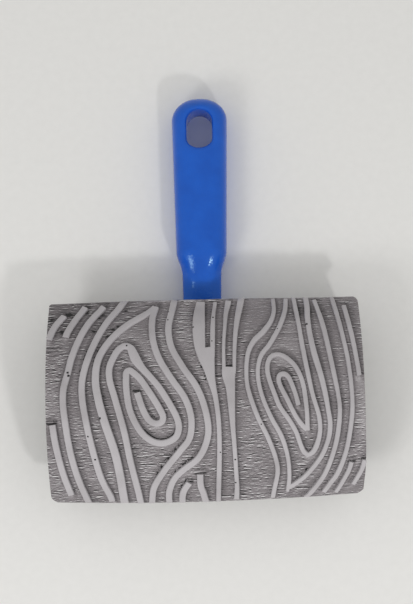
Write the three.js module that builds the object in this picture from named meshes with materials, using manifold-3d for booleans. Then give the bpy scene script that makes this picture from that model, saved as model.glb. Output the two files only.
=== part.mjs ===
// Wood graining tool, a rocker for drawing wood grain in wet glaze.
// A rubber pad with raised grain ridges is stretched over a curved plastic shell.
// The pad folds round the shell's two long edges and is clamped behind them by steel bars.
// A moulded handle runs under the upper bar into the shell's back and is held by two screws.
//
// Millimetres. The tool lies on its back: Z points out of the rubber face, Y towards the
// handle's end and X across the face. The origin is on the flat underside of the handle's
// tongue, under the middle of the rocker, so Z = 0 is the plane that the tool rests on.
import * as THREE from 'three';
import { mergeVertices } from 'three/addons/utils/BufferGeometryUtils.js';
import Module from 'manifold-3d';

const wasm = await Module();
wasm.setup();

// Rubber pad
const PAD_WIDTH = 150;
const PAD_CHORD = 95.8;
const FACE_RADIUS = 68;
const RIDGE_HEIGHT = 1.2;
const WEB_THICKNESS = 2.5;
const HEM_WIDTH = 8.9;
const HEM_END_INSET = 6.5;
const CORNER_RADIUS = 2.2;
const SHARP_CORNER_RADIUS = 0.8;
const RIDGE_WIDTH = 3.1;
const FINE_RIDGE_WIDTH = 2.2;
const RIDGE_FLARE = 0.25;
const RIDGE_ROOT = 0.6;

// Curved plastic shell
const PAD_OVERHANG = 3;
const SHELL_WALL = 3;
const NOSE_RADIUS = 1.8;
const LEDGE_THICKNESS = 2.4;
const CHEEK_WALL = 2.5;
const CHEEK_FOOT_INSET = 6.5;
const CHEEK_FOOT_RADIUS = 5;
const CHEEK_EDGE_INSET = 1.6;
const RIB_WALL = 2.4;
const RIB_LIFT = 1;
const CHANNEL_MARGIN = 1.2;
const STIFFENER_DEPTH = 4;
const STIFFENER_WALL = 2;
const STIFFENER_X = 40;
const STIFFENER_Y = 18;
const SEAT_RIB_Y = 25;

// Clamp bars and their screws
const BAR_THICKNESS = 1.5;
const BAR_WIDTH = 8;
const BAR_END_GAP = 2.5;
const CLAMP_INNER_X = 25;
const CLAMP_END_INSET = 6;
const CLAMP_SHANK = 3;
const CLAMP_SCREW_LENGTH = 8.5;
const CLAMP_HEAD = 5.6;
const CLAMP_HEAD_HEIGHT = 1.9;
const CLAMP_BOSS = 6.8;
const CLAMP_BOSS_HEIGHT = 5;

// Handle
const TONGUE_WIDTH = 19.4;
const TONGUE_THICKNESS = 12;
const TONGUE_REACH = 28;
const TONGUE_EDGE = 1.5;
const NECK_TO_BAR = 4;
const NECK_SHOWING = 14;
const NECK_WIDTH = 18.5;
const NECK_THICKNESS = 16.4;
const NECK_RAMP = 19;
const NECK_RAMP_INSET = 1.5;
const GRIP_LENGTH = 90.2;
const GRIP_THICKNESS = 20;
const GRIP_WIDTH_AT_NECK = 25.3;
const GRIP_WIDTH_AT_END = 28.3;
const GRIP_SOLE = 13;
const SHOULDER_LENGTH = 12.5;
const END_ROUNDING = 11.9;
const END_TAPER = 7.5;
const SLOT_WIDTH = 12.7;
const SLOT_LENGTH = 19.5;
const SLOT_INSET = 7.2;
const SLOT_FOOT_RISE = 5.1;

// Screws that hold the handle in the shell
const HANDLE_SCREW_Y = 16;
const HANDLE_SHANK = 4;
const HANDLE_SCREW_LENGTH = 20;
const HANDLE_HEAD = 7.4;
const HANDLE_HEAD_HEIGHT = 2.6;
const HANDLE_HEAD_SINK = 0.4;
const HANDLE_BOSS = 9.4;

// Clearance between pieces that touch or pass through each other
const GAP = 0.3;

// Places that follow from the sizes above
const SHELL_RADIUS = FACE_RADIUS - RIDGE_HEIGHT - WEB_THICKNESS - GAP;
const SHELL_INNER = SHELL_RADIUS - SHELL_WALL;
const WEB_RADIUS = FACE_RADIUS - RIDGE_HEIGHT;
const WEB_INNER = WEB_RADIUS - WEB_THICKNESS;
const FOLD_INNER = NOSE_RADIUS + GAP;
const FOLD_WEB = FOLD_INNER + WEB_THICKNESS;
const FOLD_TOP = FOLD_WEB + RIDGE_HEIGHT;
const NOSE_REACH = SHELL_RADIUS - NOSE_RADIUS;
const NOSE_Y = PAD_CHORD / 2 - FOLD_TOP;
const HALF_ANGLE = Math.asin(NOSE_Y / NOSE_REACH);
const ARC_RUN = FACE_RADIUS * HALF_ANGLE;
const BAR_BOTTOM = TONGUE_THICKNESS + NECK_TO_BAR;
const HEM_BOTTOM = BAR_BOTTOM + BAR_THICKNESS + GAP;
const LEDGE_Z = HEM_BOTTOM + WEB_THICKNESS + GAP;
const NOSE_Z = LEDGE_Z + NOSE_RADIUS;
const AXIS_Z = NOSE_Z - NOSE_REACH * Math.cos(HALF_ANGLE);
const HEM_EDGE_Y = NOSE_Y - HEM_WIDTH;
const BAR_Y = HEM_EDGE_Y + BAR_WIDTH / 2;
const SHELL_WIDTH = PAD_WIDTH - 2 * PAD_OVERHANG;
const CHEEK_X = SHELL_WIDTH / 2 - CHEEK_WALL;
const HEM_LENGTH = PAD_WIDTH - 2 * HEM_END_INSET;
const BAR_LENGTH = HEM_LENGTH - 2 * BAR_END_GAP;
const CLAMP_OUTER_X = BAR_LENGTH / 2 - CLAMP_END_INSET;
const CHANNEL_X = TONGUE_WIDTH / 2 + GAP;
const CHANNEL_Y = HEM_EDGE_Y - CHANNEL_MARGIN;
const SEAT_Z = TONGUE_THICKNESS + GAP;
const NECK_END_Y = PAD_CHORD / 2 + NECK_SHOWING;
const RAMP_FOOT_Y = PAD_CHORD / 2 - NECK_RAMP_INSET;
const SHOULDER_END_Y = NECK_END_Y + SHOULDER_LENGTH;
const TIP_Y = NECK_END_Y + GRIP_LENGTH;
const SLOT_TOP_Y = TIP_Y - SLOT_INSET;
const SLOT_FOOT_Y = SLOT_TOP_Y - SLOT_LENGTH;

// Grain ridges as lines of [x, distance round the face, width where it changes].
// The distance is 0 at the crest and grows towards the handle.
const PATTERN_WIDTH = 150;
const PATTERN_RUN = 50.6;
const WIDE_RIDGES = {
  stub_1: [[-67.2, 45], [-71.5, 38], [-73.8, 31.2]],
  stub_2: [[-57.3, 50.3], [-61.2, 43], [-65.1, 34.8], [-65.8, 32.3]],
  arc_1: [[-48.4, 50.3], [-55.1, 40], [-59.6, 30], [-62.9, 20], [-64.2, 14], [-66.3, 6],
    [-66.7, 0], [-65.9, -10], [-64, -25], [-60.9, -40], [-57.3, -53.3]],
  arc_2: [[-36.5, 57], [-39.5, 51.5], [-46.5, 40], [-51.2, 30], [-55, 20], [-57.5, 10],
    [-57.7, 2], [-56.1, -10], [-53.3, -25], [-50, -40], [-46.5, -50], [-45.9, -52.3]],
  heart_left: [[-23.2, 48.9, 3.6], [-27, 45.4, 3.4], [-36, 38.8, 3.2], [-44.3, 30, 3.2],
    [-49.9, 20, 3.3], [-51.3, 10, 3.5], [-50, 0, 3.7], [-47.5, -10, 3.8], [-43.2, -25, 3.9],
    [-41.2, -38, 3.9], [-40.5, -48, 3.9], [-40, -53.6, 3.9]],
  heart_right: [[-23.1, 49.4], [-24.5, 42], [-24.2, 30], [-21.5, 20], [-16, 10], [-9.5, 0],
    [-6.9, -8], [-6.8, -15], [-8.1, -20], [-12, -25], [-19.8, -35], [-25.4, -45], [-27.2, -56]],
  knot_outer: [[-32, -56], [-33.5, -45], [-36, -30], [-38.4, -15], [-42.1, 0], [-44.7, 10],
    [-44.7, 15.5], [-42.9, 20.4], [-40.3, 24.7], [-37.3, 26.5], [-34.8, 25.3, 3.5],
    [-33.8, 23.2, 4.2], [-32.3, 19.5, 4.6], [-29.4, 15, 3.6], [-25.1, 10], [-21.2, 5],
    [-15.4, -5], [-13.2, -10], [-12.6, -14], [-13.8, -18], [-16.5, -20.2], [-20.5, -21.3],
    [-24.5, -20.6], [-28, -18.3], [-31.2, -14.5], [-35.4, -5], [-36.8, 5], [-36.9, 10],
    [-36.6, 13], [-35.2, 13.9], [-33.5, 12.8], [-30.6, 10], [-27.2, 5], [-21.3, -5],
    [-19.9, -8.5], [-20.4, -10.8], [-22.5, -11.8], [-24.8, -11.3], [-26.8, -9.6],
    [-29.2, -5], [-31.8, 3]],
  s_curve: [[-14, 53], [-15.5, 45], [-16.8, 35], [-15.3, 25], [-10.2, 15], [-3.8, 5],
    [-0.2, -5], [1.2, -15], [0.5, -20], [-1.3, -25], [-4.5, -30], [-10.5, -34.8],
    [-15.4, -40], [-18.4, -48], [-18.6, -56]],
  stub_3: [[-71.9, -11.2], [-70.9, -20], [-68.3, -35], [-65.2, -48.3]],
  stub_4: [[-8.6, -42.8], [-10.6, -46], [-12.1, -50], [-12.4, -56]],
  stub_5: [[-3.4, -38], [-3.3, -45], [-2, -50], [-0.5, -56]],
};
const FINE_RIDGES = {
  fork_1_left: [[-1.2, 51.3, 4.1], [-1.9, 45, 5.3], [-2.2, 38, 6], [-2.2, 31, 5.8],
    [-1.7, 24.2, 5], [-0.8, 20, 3.6]],
  fork_1_right: [[5.8, 51, 1.8], [5, 45, 1.8], [4.4, 35, 2.3], [4.2, 27, 2.3], [4, 20, 2.2]],
  fork_1_stem: [[0.5, 24.2, 9.2], [1.05, 20, 8.1], [2.1, 15, 5.8], [2.9, 10, 4.2],
    [3.9, 5, 3.1], [4.9, 0, 2.5], [6, -10, 2.3], [6.2, -22, 2.3], [5.5, -40, 2.4],
    [4.8, -56, 2.3]],
  fork_2_left: [[12.2, 51.6, 2.9], [11, 45, 2.3], [10.1, 35, 1.7], [9.4, 25, 1.6],
    [9.2, 11, 1.8]],
  fork_2_right: [[19, 56, 3.2], [17, 45, 2.9], [15.5, 35, 2.3], [14.6, 25, 1.9],
    [14, 11, 1.6]],
  fork_2_stem: [[11.6, 14.2, 6.6], [11.4, 10, 6.2], [12, 5, 4.6], [12.3, -3, 3.5],
    [12.7, -15, 2.4], [13.1, -22, 2.2], [13.7, -38, 2.1], [13.9, -47, 2.3], [13.6, -52.5, 2.6]],
  bend_1: [[33.9, 52.6, 2], [34, 45, 2], [32.4, 38.7, 2.2], [28.5, 32.5, 2.6], [23.9, 27.5, 2.5],
    [21.2, 22.3, 2.2], [19.9, 15, 2], [19.9, 6, 2], [21.3, -0.5], [24.5, -10], [29, -20],
    [32.3, -30], [33.3, -37], [32.2, -45], [30.9, -52.6]],
  bend_2: [[40.1, 52.5, 2.1], [39.3, 45], [36.2, 35], [30.9, 25], [27.1, 19.9], [25.4, 14.5, 2],
    [25.2, 8, 2], [26.9, -0.5, 2], [30.6, -10, 2.1], [35.5, -20, 2.2], [38.1, -30, 2],
    [38.8, -40, 2], [38.4, -46, 2], [37.9, -49.3, 1.6]],
  bend_3: [[38.4, -47, 2.6], [40.9, -45.4, 2.4], [45.4, -41.5], [49.1, -37.1], [53.9, -30],
    [56.1, -25], [57.7, -19.5, 2.3], [58.2, -13.5, 2.3], [57.4, -7], [56.4, 0, 2.4],
    [54.6, 9, 2.6], [52, 20, 2.8], [50.5, 30, 2.5], [49.9, 40, 2.6], [50.1, 47, 2.6],
    [49.6, 56, 2.6]],
  knot_2_outer: [[43.5, 57, 2], [44.6, 45, 2.1], [45.6, 35, 2], [46.6, 24], [48.6, 10],
    [50.4, 0, 2.1], [53, -10, 2.1], [53.5, -15.5, 2.1], [53, -20], [51.4, -25.2, 2.5],
    [49.6, -28, 2.4], [47.5, -28.9, 2.3], [45.6, -27.2, 2.3], [44.1, -23.5], [42.3, -17.8],
    [39.3, -12], [34.6, -4.7], [32.7, 0.5], [30.3, 8], [29.6, 12.5], [30.2, 16.6], [32, 19.2],
    [35.1, 20, 1.9], [38.3, 18.5], [42.2, 14.6], [44.7, 9.8], [46.2, 4.5], [47, -2],
    [47.5, -9, 2.1], [47.5, -16.9, 2.4]],
  knot_2_inner: [[47.3, -16.4, 2.6], [45.4, -14.6, 2.4], [42.5, -10.5], [37.7, -0.3],
    [35.4, 4.6], [34.7, 7.6], [35.4, 9.7, 2.4], [37.3, 10.2, 2.5], [39.1, 9, 2.3],
    [40.9, 5], [42.5, 0, 2.1], [43.6, -4.8, 2.3]],
  sweep_1: [[53.8, 51.2, 2.1], [55.1, 45, 2], [57, 35, 2.3], [59.2, 20], [61.2, 7], [62.3, 0, 2],
    [62.9, -7.5, 2.1], [61.5, -20, 2.3], [59, -30, 2.2], [55.4, -40, 2.3], [50.5, -48.5, 2.4],
    [46.8, -54, 2.4]],
  sweep_2: [[62, 56, 2], [63.6, 45, 2.1], [65.8, 30, 2], [67.8, 15, 2], [68.8, 0, 2],
    [68.7, -8, 2.1], [67.1, -20, 2.2], [64.9, -30, 2.2], [61.3, -40, 2.4], [58.3, -45, 2.4],
    [55.2, -50.6, 2.2]],
  stub_6: [[67.8, 47], [68.9, 39], [70.4, 28], [71.9, 15, 2.1], [72.6, 8.5, 2.2]],
  stub_7: [[68.1, -33.4], [67, -37.5], [64.9, -42.5, 2.1], [61, -51, 2]],
  stub_8: [[74.3, -32.5], [73, -37.5], [69.1, -46, 2]],
};

// How finely the faceted solid follows a curve
const ARC_FACETS = 18;
const FOLD_FACETS = 5;
const RIDGE_TURN = 0.3;
const RIDGE_STEP = 9;
const ROUND_SIDES = 20;
const OVERLAP = 0.5;

// Mesh helpers

// A closed geometry as a solid; three's own geometries repeat vertices along their seams
function solid(geometry) {
  const plain = geometry.clone();
  const hasSeams = plain.hasAttribute('normal');
  plain.deleteAttribute('normal');
  plain.deleteAttribute('uv');
  const merged = hasSeams ? mergeVertices(plain, 1e-4) : plain;
  return new wasm.Manifold(new wasm.Mesh({
    numProp: 3,
    vertProperties: new Float32Array(merged.attributes.position.array),
    triVerts: new Uint32Array(merged.index.array),
  }));
}

function geometryOf(body) {
  const mesh = body.getMesh();
  const geometry = new THREE.BufferGeometry();
  geometry.setAttribute('position', new THREE.BufferAttribute(mesh.vertProperties, 3));
  geometry.setIndex(new THREE.BufferAttribute(mesh.triVerts, 1));
  geometry.computeVertexNormals();
  return geometry;
}

function box(x0, x1, y0, y1, z0, z1) {
  const geometry = new THREE.BoxGeometry(x1 - x0, y1 - y0, z1 - z0);
  geometry.translate((x0 + x1) / 2, (y0 + y1) / 2, (z0 + z1) / 2);
  return geometry;
}

function post(x, y, z0, z1, radius) {
  const geometry = new THREE.CylinderGeometry(radius, radius, z1 - z0, ROUND_SIDES);
  geometry.rotateX(Math.PI / 2);
  geometry.translate(x, y, (z0 + z1) / 2);
  return geometry;
}

// An outline of [y, z] points run along X from x0 to x1
function runAcross(outline, x0, x1) {
  const shape = new THREE.Shape(outline.map(([y, z]) => new THREE.Vector2(y, z)));
  const geometry = new THREE.ExtrudeGeometry(shape, { depth: x1 - x0, bevelEnabled: false });
  geometry.applyMatrix4(new THREE.Matrix4().set(0, 0, 1, x0, 1, 0, 0, 0, 0, 1, 0, 0, 0, 0, 0, 1));
  return geometry;
}

// Points of an arc in the YZ plane; angles are measured from +Z towards +Y
function arc(centreY, centreZ, radius, from, to, steps) {
  const points = [];
  for (let i = 0; i <= steps; i += 1) {
    const angle = from + (to - from) * i / steps;
    points.push([centreY + radius * Math.sin(angle), centreZ + radius * Math.cos(angle)]);
  }
  return points;
}

function mirrored(points) {
  return points.map(([y, z]) => [-y, z]).reverse();
}

// Closed skin over loops that all have the same number of points
function loft(loops) {
  const count = loops[0].length;
  const vertices = loops.flat(2);
  const faces = [];
  for (let k = 0; k + 1 < loops.length; k += 1) {
    for (let i = 0; i < count; i += 1) {
      const a = k * count + i;
      const b = k * count + (i + 1) % count;
      faces.push(a, b, b + count, a, b + count, a + count);
    }
  }
  const last = (loops.length - 1) * count;
  for (let i = 1; i + 1 < count; i += 1) {
    faces.push(0, i + 1, i, last, last + i, last + i + 1);
  }
  const geometry = new THREE.BufferGeometry();
  geometry.setAttribute('position', new THREE.Float32BufferAttribute(vertices, 3));
  geometry.setIndex(faces);
  return geometry;
}

// Rubber pad

// A place on the ridge tops: along runs round the arc and then round the folded edge
function facePoint(across, along, lift) {
  const side = along < 0 ? -1 : 1;
  const run = Math.abs(along);
  if (run <= ARC_RUN) {
    const radius = FACE_RADIUS + lift;
    const angle = run / FACE_RADIUS;
    return [across, side * radius * Math.sin(angle), AXIS_Z + radius * Math.cos(angle)];
  }
  const radius = FOLD_TOP + lift;
  const angle = HALF_ANGLE + (run - ARC_RUN) / FOLD_TOP;
  return [across, side * (NOSE_Y + radius * Math.sin(angle)), NOSE_Z + radius * Math.cos(angle)];
}

// Centre line of a ridge, thinned to the points that its bends need
function ridgeLine(points, width) {
  const curve = new THREE.CatmullRomCurve3(points.map(([x, along, w]) => new THREE.Vector3(
    x * PAD_WIDTH / PATTERN_WIDTH, along * ARC_RUN / PATTERN_RUN, w ?? width)), false, 'centripetal');
  const dense = curve.getSpacedPoints(Math.ceil(curve.getLength()));
  const kept = [dense[0]];
  let heading = null;
  for (let i = 1; i < dense.length; i += 1) {
    const last = kept[kept.length - 1];
    const step = Math.hypot(dense[i].x - last.x, dense[i].y - last.y);
    const turn = Math.atan2(dense[i].y - dense[i - 1].y, dense[i].x - dense[i - 1].x);
    heading = heading ?? turn;
    const bend = Math.abs(Math.atan2(Math.sin(turn - heading), Math.cos(turn - heading)));
    if (step > RIDGE_STEP || bend > RIDGE_TURN || i === dense.length - 1) {
      kept.push(dense[i]);
      heading = turn;
    }
  }
  return kept;
}

function ridge(points, width) {
  const line = ridgeLine(points, width);
  const loops = line.map((point, i) => {
    const before = line[Math.max(i - 1, 0)];
    const after = line[Math.min(i + 1, line.length - 1)];
    const length = Math.hypot(after.x - before.x, after.y - before.y);
    const sideX = -(after.y - before.y) / length;
    const sideY = (after.x - before.x) / length;
    const half = point.z / 2;
    const root = half + RIDGE_FLARE / 2;
    const place = (offset, lift) => facePoint(point.x + sideX * offset, point.y + sideY * offset, lift);
    const sunk = -RIDGE_HEIGHT - RIDGE_ROOT;
    return [place(half, 0), place(-half, 0), place(-root, sunk), place(root, sunk)];
  });
  return solid(loft(loops));
}

function makePad() {
  const right = [
    ...arc(0, AXIS_Z, WEB_RADIUS, 0, HALF_ANGLE, ARC_FACETS / 2),
    ...arc(NOSE_Y, NOSE_Z, FOLD_WEB, HALF_ANGLE, Math.PI, FOLD_FACETS).slice(1),
  ];
  const underside = [
    ...arc(NOSE_Y, NOSE_Z, FOLD_INNER, Math.PI, HALF_ANGLE, FOLD_FACETS),
    ...arc(0, AXIS_Z, WEB_INNER, HALF_ANGLE, 0, ARC_FACETS / 2).slice(1),
  ];
  const outline = [...mirrored(right.slice(1)), ...right, ...underside, ...mirrored(underside.slice(0, -1))];
  let pad = solid(runAcross(outline, -PAD_WIDTH / 2, PAD_WIDTH / 2));
  for (const points of Object.values(WIDE_RIDGES)) {
    pad = pad.add(ridge(points, RIDGE_WIDTH));
  }
  for (const points of Object.values(FINE_RIDGES)) {
    pad = pad.add(ridge(points, FINE_RIDGE_WIDTH));
  }
  pad = pad.intersect(solid(cornerBlock()));
  for (const side of [-1, 1]) {
    const y0 = side * HEM_EDGE_Y;
    const y1 = side * (NOSE_Y + OVERLAP);
    const hem = box(-HEM_LENGTH / 2, HEM_LENGTH / 2, Math.min(y0, y1), Math.max(y0, y1),
      HEM_BOTTOM, HEM_BOTTOM + WEB_THICKNESS);
    pad = pad.add(solid(hem));
    for (const x of clampScrewPlaces()) {
      const hole = post(x, side * BAR_Y, HEM_BOTTOM - OVERLAP, LEDGE_Z, CLAMP_SHANK / 2 + GAP);
      pad = pad.subtract(solid(hole));
    }
  }
  return geometryOf(pad);
}

// Plan of the pad with its corners: the one at the upper left stays sharp
function cornerBlock() {
  const x = PAD_WIDTH / 2;
  const y = PAD_CHORD / 2;
  const shape = new THREE.Shape();
  const turn = (cx, cy, radius, from) => shape.absarc(cx, cy, radius, from, from + Math.PI / 2, false);
  turn(x - CORNER_RADIUS, y - CORNER_RADIUS, CORNER_RADIUS, 0);
  turn(-x + SHARP_CORNER_RADIUS, y - SHARP_CORNER_RADIUS, SHARP_CORNER_RADIUS, Math.PI / 2);
  turn(-x + CORNER_RADIUS, -y + CORNER_RADIUS, CORNER_RADIUS, Math.PI);
  turn(x - CORNER_RADIUS, -y + CORNER_RADIUS, CORNER_RADIUS, Math.PI * 1.5);
  const depth = AXIS_Z + FACE_RADIUS + OVERLAP;
  return new THREE.ExtrudeGeometry(shape, { depth, bevelEnabled: false, curveSegments: 4 });
}

function clampScrewPlaces() {
  return [-CLAMP_OUTER_X, -CLAMP_INNER_X, CLAMP_INNER_X, CLAMP_OUTER_X];
}

// Curved plastic shell

// Height of the shell's inner surface at a distance from the middle
function innerHeight(y) {
  return AXIS_Z + Math.sqrt(SHELL_INNER ** 2 - y ** 2);
}

function makeShell() {
  const ledgeTop = LEDGE_Z + LEDGE_THICKNESS;
  const ledgeAngle = Math.acos((ledgeTop - AXIS_Z) / SHELL_INNER);
  const right = [
    ...arc(0, AXIS_Z, SHELL_RADIUS, 0, HALF_ANGLE, ARC_FACETS / 2),
    ...arc(NOSE_Y, NOSE_Z, NOSE_RADIUS, HALF_ANGLE, Math.PI, FOLD_FACETS).slice(1),
    [HEM_EDGE_Y, LEDGE_Z],
    [HEM_EDGE_Y, ledgeTop],
  ];
  const underside = arc(0, AXIS_Z, SHELL_INNER, ledgeAngle, 0, ARC_FACETS / 2);
  const outline = [...mirrored(right.slice(1)), ...right, ...underside, ...mirrored(underside.slice(0, -1))];
  let shell = solid(runAcross(outline, -SHELL_WIDTH / 2, SHELL_WIDTH / 2));
  const join = (geometry) => { shell = shell.add(solid(geometry)); };
  const cut = (geometry) => { shell = shell.subtract(solid(geometry)); };

  // Everything inside ends in the middle of the curved wall
  const wallMiddle = SHELL_INNER + SHELL_WALL / 2;
  const skin = arc(0, AXIS_Z, wallMiddle, -HALF_ANGLE, HALF_ANGLE, ARC_FACETS);
  const cheekY = NOSE_Y - CHEEK_EDGE_INSET;
  const footY = cheekY - CHEEK_FOOT_INSET;
  const cheekTop = LEDGE_Z + OVERLAP;
  const flank = Math.atan2(cheekTop, cheekY - footY);
  const footReach = CHEEK_FOOT_RADIUS / Math.tan((Math.PI - flank) / 2);
  const foot = arc(footY - footReach, CHEEK_FOOT_RADIUS, CHEEK_FOOT_RADIUS, Math.PI, Math.PI - flank, 4);
  const leftFoot = mirrored(foot).toReversed();
  const cheek = [...leftFoot, [-cheekY, cheekTop], ...skin, [cheekY, cheekTop], ...foot.toReversed()];
  for (const side of [-1, 1]) {
    const inner = side * CHEEK_X;
    const outer = side * SHELL_WIDTH / 2;
    join(runAcross(cheek, Math.min(inner, outer), Math.max(inner, outer)));
  }

  const beam = (y0, y1, bottom) => {
    const roof = arc(0, AXIS_Z, wallMiddle, Math.asin(y0 / wallMiddle), Math.asin(y1 / wallMiddle),
      ARC_FACETS / 2);
    return [[y0, bottom], ...roof, [y1, bottom]];
  };
  for (const side of [-1, 1]) {
    const inner = side * CHANNEL_X;
    const outer = side * (CHANNEL_X + RIB_WALL);
    join(runAcross(beam(-CHANNEL_Y, CHANNEL_Y, RIB_LIFT), Math.min(inner, outer), Math.max(inner, outer)));
  }

  // Wall across the channel behind the tongue's end, and ribs that the tongue lies against
  const stopY = -TONGUE_REACH - GAP;
  const channel = CHANNEL_X + OVERLAP;
  join(runAcross(beam(stopY - RIB_WALL, stopY, RIB_LIFT), -channel, channel));
  for (const y of [-SEAT_RIB_Y, 0, SEAT_RIB_Y]) {
    const half = STIFFENER_WALL / 2;
    join(runAcross(beam(y - half, y + half, SEAT_Z), -channel, channel));
  }

  // Shallow ribs under the curved wall
  const span = CHEEK_X + OVERLAP;
  for (const side of [-1, 1]) {
    const x = side * STIFFENER_X;
    const rib = [
      ...arc(0, AXIS_Z, wallMiddle, -ledgeAngle * 0.8, ledgeAngle * 0.8, ARC_FACETS),
      ...arc(0, AXIS_Z, SHELL_INNER - STIFFENER_DEPTH, ledgeAngle * 0.8, -ledgeAngle * 0.8, ARC_FACETS),
    ];
    join(runAcross(rib, x - STIFFENER_WALL / 2, x + STIFFENER_WALL / 2));
    const y0 = side * STIFFENER_Y - STIFFENER_WALL / 2;
    const y1 = y0 + STIFFENER_WALL;
    const bottom = innerHeight(STIFFENER_Y) - STIFFENER_DEPTH;
    join(runAcross(beam(y0, y1, bottom), CHANNEL_X + OVERLAP, span));
    join(runAcross(beam(y0, y1, bottom), -span, -CHANNEL_X - OVERLAP));
  }

  // Bosses for the handle's screws, then those for the clamp screws
  const screwTop = HANDLE_HEAD_SINK + HANDLE_HEAD_HEIGHT + HANDLE_SCREW_LENGTH;
  for (const side of [-1, 1]) {
    const y = side * HANDLE_SCREW_Y;
    join(post(0, y, SEAT_Z, innerHeight(HANDLE_SCREW_Y + HANDLE_BOSS / 2) + OVERLAP, HANDLE_BOSS / 2));
    cut(post(0, y, SEAT_Z - OVERLAP, screwTop + GAP, HANDLE_SHANK / 2 + GAP));
    for (const x of clampScrewPlaces()) {
      join(post(x, side * BAR_Y, LEDGE_Z, LEDGE_Z + CLAMP_BOSS_HEIGHT, CLAMP_BOSS / 2));
      cut(post(x, side * BAR_Y, LEDGE_Z - OVERLAP, clampScrewTop() + GAP, CLAMP_SHANK / 2 + GAP));
    }
  }
  return geometryOf(shell);
}

function clampScrewTop() {
  return BAR_BOTTOM - GAP + CLAMP_SCREW_LENGTH;
}

// Clamp bars and screws

function makeBar(side) {
  const shape = new THREE.Shape();
  const half = BAR_LENGTH / 2 - BAR_WIDTH / 2;
  const y = side * BAR_Y;
  shape.absarc(half, y, BAR_WIDTH / 2, -Math.PI / 2, Math.PI / 2, false);
  shape.absarc(-half, y, BAR_WIDTH / 2, Math.PI / 2, Math.PI * 1.5, false);
  for (const x of clampScrewPlaces()) {
    const hole = new THREE.Path();
    hole.absarc(x, y, CLAMP_SHANK / 2 + GAP, 0, Math.PI * 2, true);
    shape.holes.push(hole);
  }
  const settings = { depth: BAR_THICKNESS, bevelEnabled: false, curveSegments: 7 };
  const geometry = new THREE.ExtrudeGeometry(shape, settings);
  geometry.translate(0, 0, BAR_BOTTOM);
  return geometryOf(solid(geometry));
}

// A self-tapping screw pointing up, with the underside of its head at Z = 0
function makeScrew(head, headHeight, shank, length) {
  const point = shank * 0.8;
  const profile = [
    [0, -headHeight],
    [head * 0.28, -headHeight * 0.96],
    [head * 0.43, -headHeight * 0.72],
    [head / 2, -headHeight * 0.3],
    [head / 2, 0],
    [shank / 2, 0],
    [shank / 2, length - point],
    [shank * 0.15, length],
    [0, length],
  ];
  const geometry = new THREE.LatheGeometry(profile.map(([r, z]) => new THREE.Vector2(r, z)), 14);
  geometry.rotateX(Math.PI / 2);
  return geometryOf(solid(geometry));
}

// Handle

// Half of a rounded section: out along the sole, up the flank and over to the middle
function gripSection(y, halfWidth, bottom, top) {
  const middle = bottom + (top - bottom) * 0.45;
  const sole = halfWidth * GRIP_SOLE / GRIP_WIDTH_AT_END;
  const flank = [];
  for (const [share, rise] of [[0, 0], [0.38, 0.05], [0.7, 0.2], [0.92, 0.52], [1, 1]]) {
    flank.push([sole + (halfWidth - sole) * share, bottom + (middle - bottom) * rise]);
  }
  for (let i = 1; i <= 6; i += 1) {
    const angle = Math.PI / 2 * i / 6;
    const out = halfWidth * Math.cos(angle) ** (2 / 2.7);
    flank.push([out, middle + (top - middle) * Math.sin(angle) ** (2 / 2.7)]);
  }
  const right = flank.map(([x, z]) => [x, y, z]);
  const left = flank.slice(0, -1).reverse().map(([x, z]) => [-x, y, z]);
  return [...right, ...left];
}

function smooth(t) {
  const c = Math.min(Math.max(t, 0), 1);
  return c * c * (3 - 2 * c);
}

function steps(from, to, count) {
  return Array.from({ length: count }, (_, i) => from + (to - from) * i / count);
}

function makeHandle() {
  const loops = [];
  const waist = GRIP_THICKNESS / 2;
  const roundingStart = TIP_Y - END_ROUNDING;
  const stations = [
    ...steps(RAMP_FOOT_Y, NECK_END_Y, 4),
    ...steps(NECK_END_Y, SHOULDER_END_Y, 6),
    ...steps(SHOULDER_END_Y, roundingStart, 3),
  ];
  for (let i = 0; i <= 8; i += 1) {
    stations.push(roundingStart + END_ROUNDING * Math.sin(Math.PI / 2 * i / 8.4));
  }
  for (const y of stations) {
    const along = (y - SHOULDER_END_Y) / (TIP_Y - SHOULDER_END_Y);
    const full = GRIP_WIDTH_AT_NECK + (GRIP_WIDTH_AT_END - GRIP_WIDTH_AT_NECK) * Math.max(along, 0);
    const shoulder = smooth((y - NECK_END_Y) / SHOULDER_LENGTH);
    const ramp = smooth((y - RAMP_FOOT_Y) / NECK_RAMP);
    const neck = NECK_WIDTH - OVERLAP;
    const inEnd = Math.max(y - roundingStart, 0) / END_ROUNDING;
    const width = (neck + (full - neck) * shoulder) * Math.sqrt(1 - inEnd ** 2);
    const footTop = TONGUE_THICKNESS - OVERLAP;
    const inTaper = Math.max(y - TIP_Y + END_TAPER, 0) / END_TAPER;
    const fall = Math.sqrt(1 - Math.min(inTaper, 1) ** 2);
    const neckTop = footTop + (NECK_THICKNESS - footTop) * ramp;
    const top = neckTop + (GRIP_THICKNESS - NECK_THICKNESS) * shoulder;
    loops.push(gripSection(y, width / 2, waist - waist * fall, waist + (top - waist) * fall));
  }
  let handle = solid(loft(loops.reverse()));
  handle = handle.add(solid(flatBar(TONGUE_WIDTH, -TONGUE_REACH, NOSE_Y)));
  handle = handle.add(solid(flatBar(NECK_WIDTH, NOSE_Y - OVERLAP, NECK_END_Y + OVERLAP)));
  handle = handle.subtract(solid(slotCutter()));
  for (const side of [-1, 1]) {
    const y = side * HANDLE_SCREW_Y;
    const seat = HANDLE_HEAD_SINK + HANDLE_HEAD_HEIGHT + GAP;
    handle = handle.subtract(solid(post(0, y, -OVERLAP, seat, HANDLE_HEAD / 2 + GAP)));
    handle = handle.subtract(solid(post(0, y, 0, TONGUE_THICKNESS + OVERLAP, HANDLE_SHANK / 2 + GAP)));
  }
  return geometryOf(handle);
}

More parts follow.
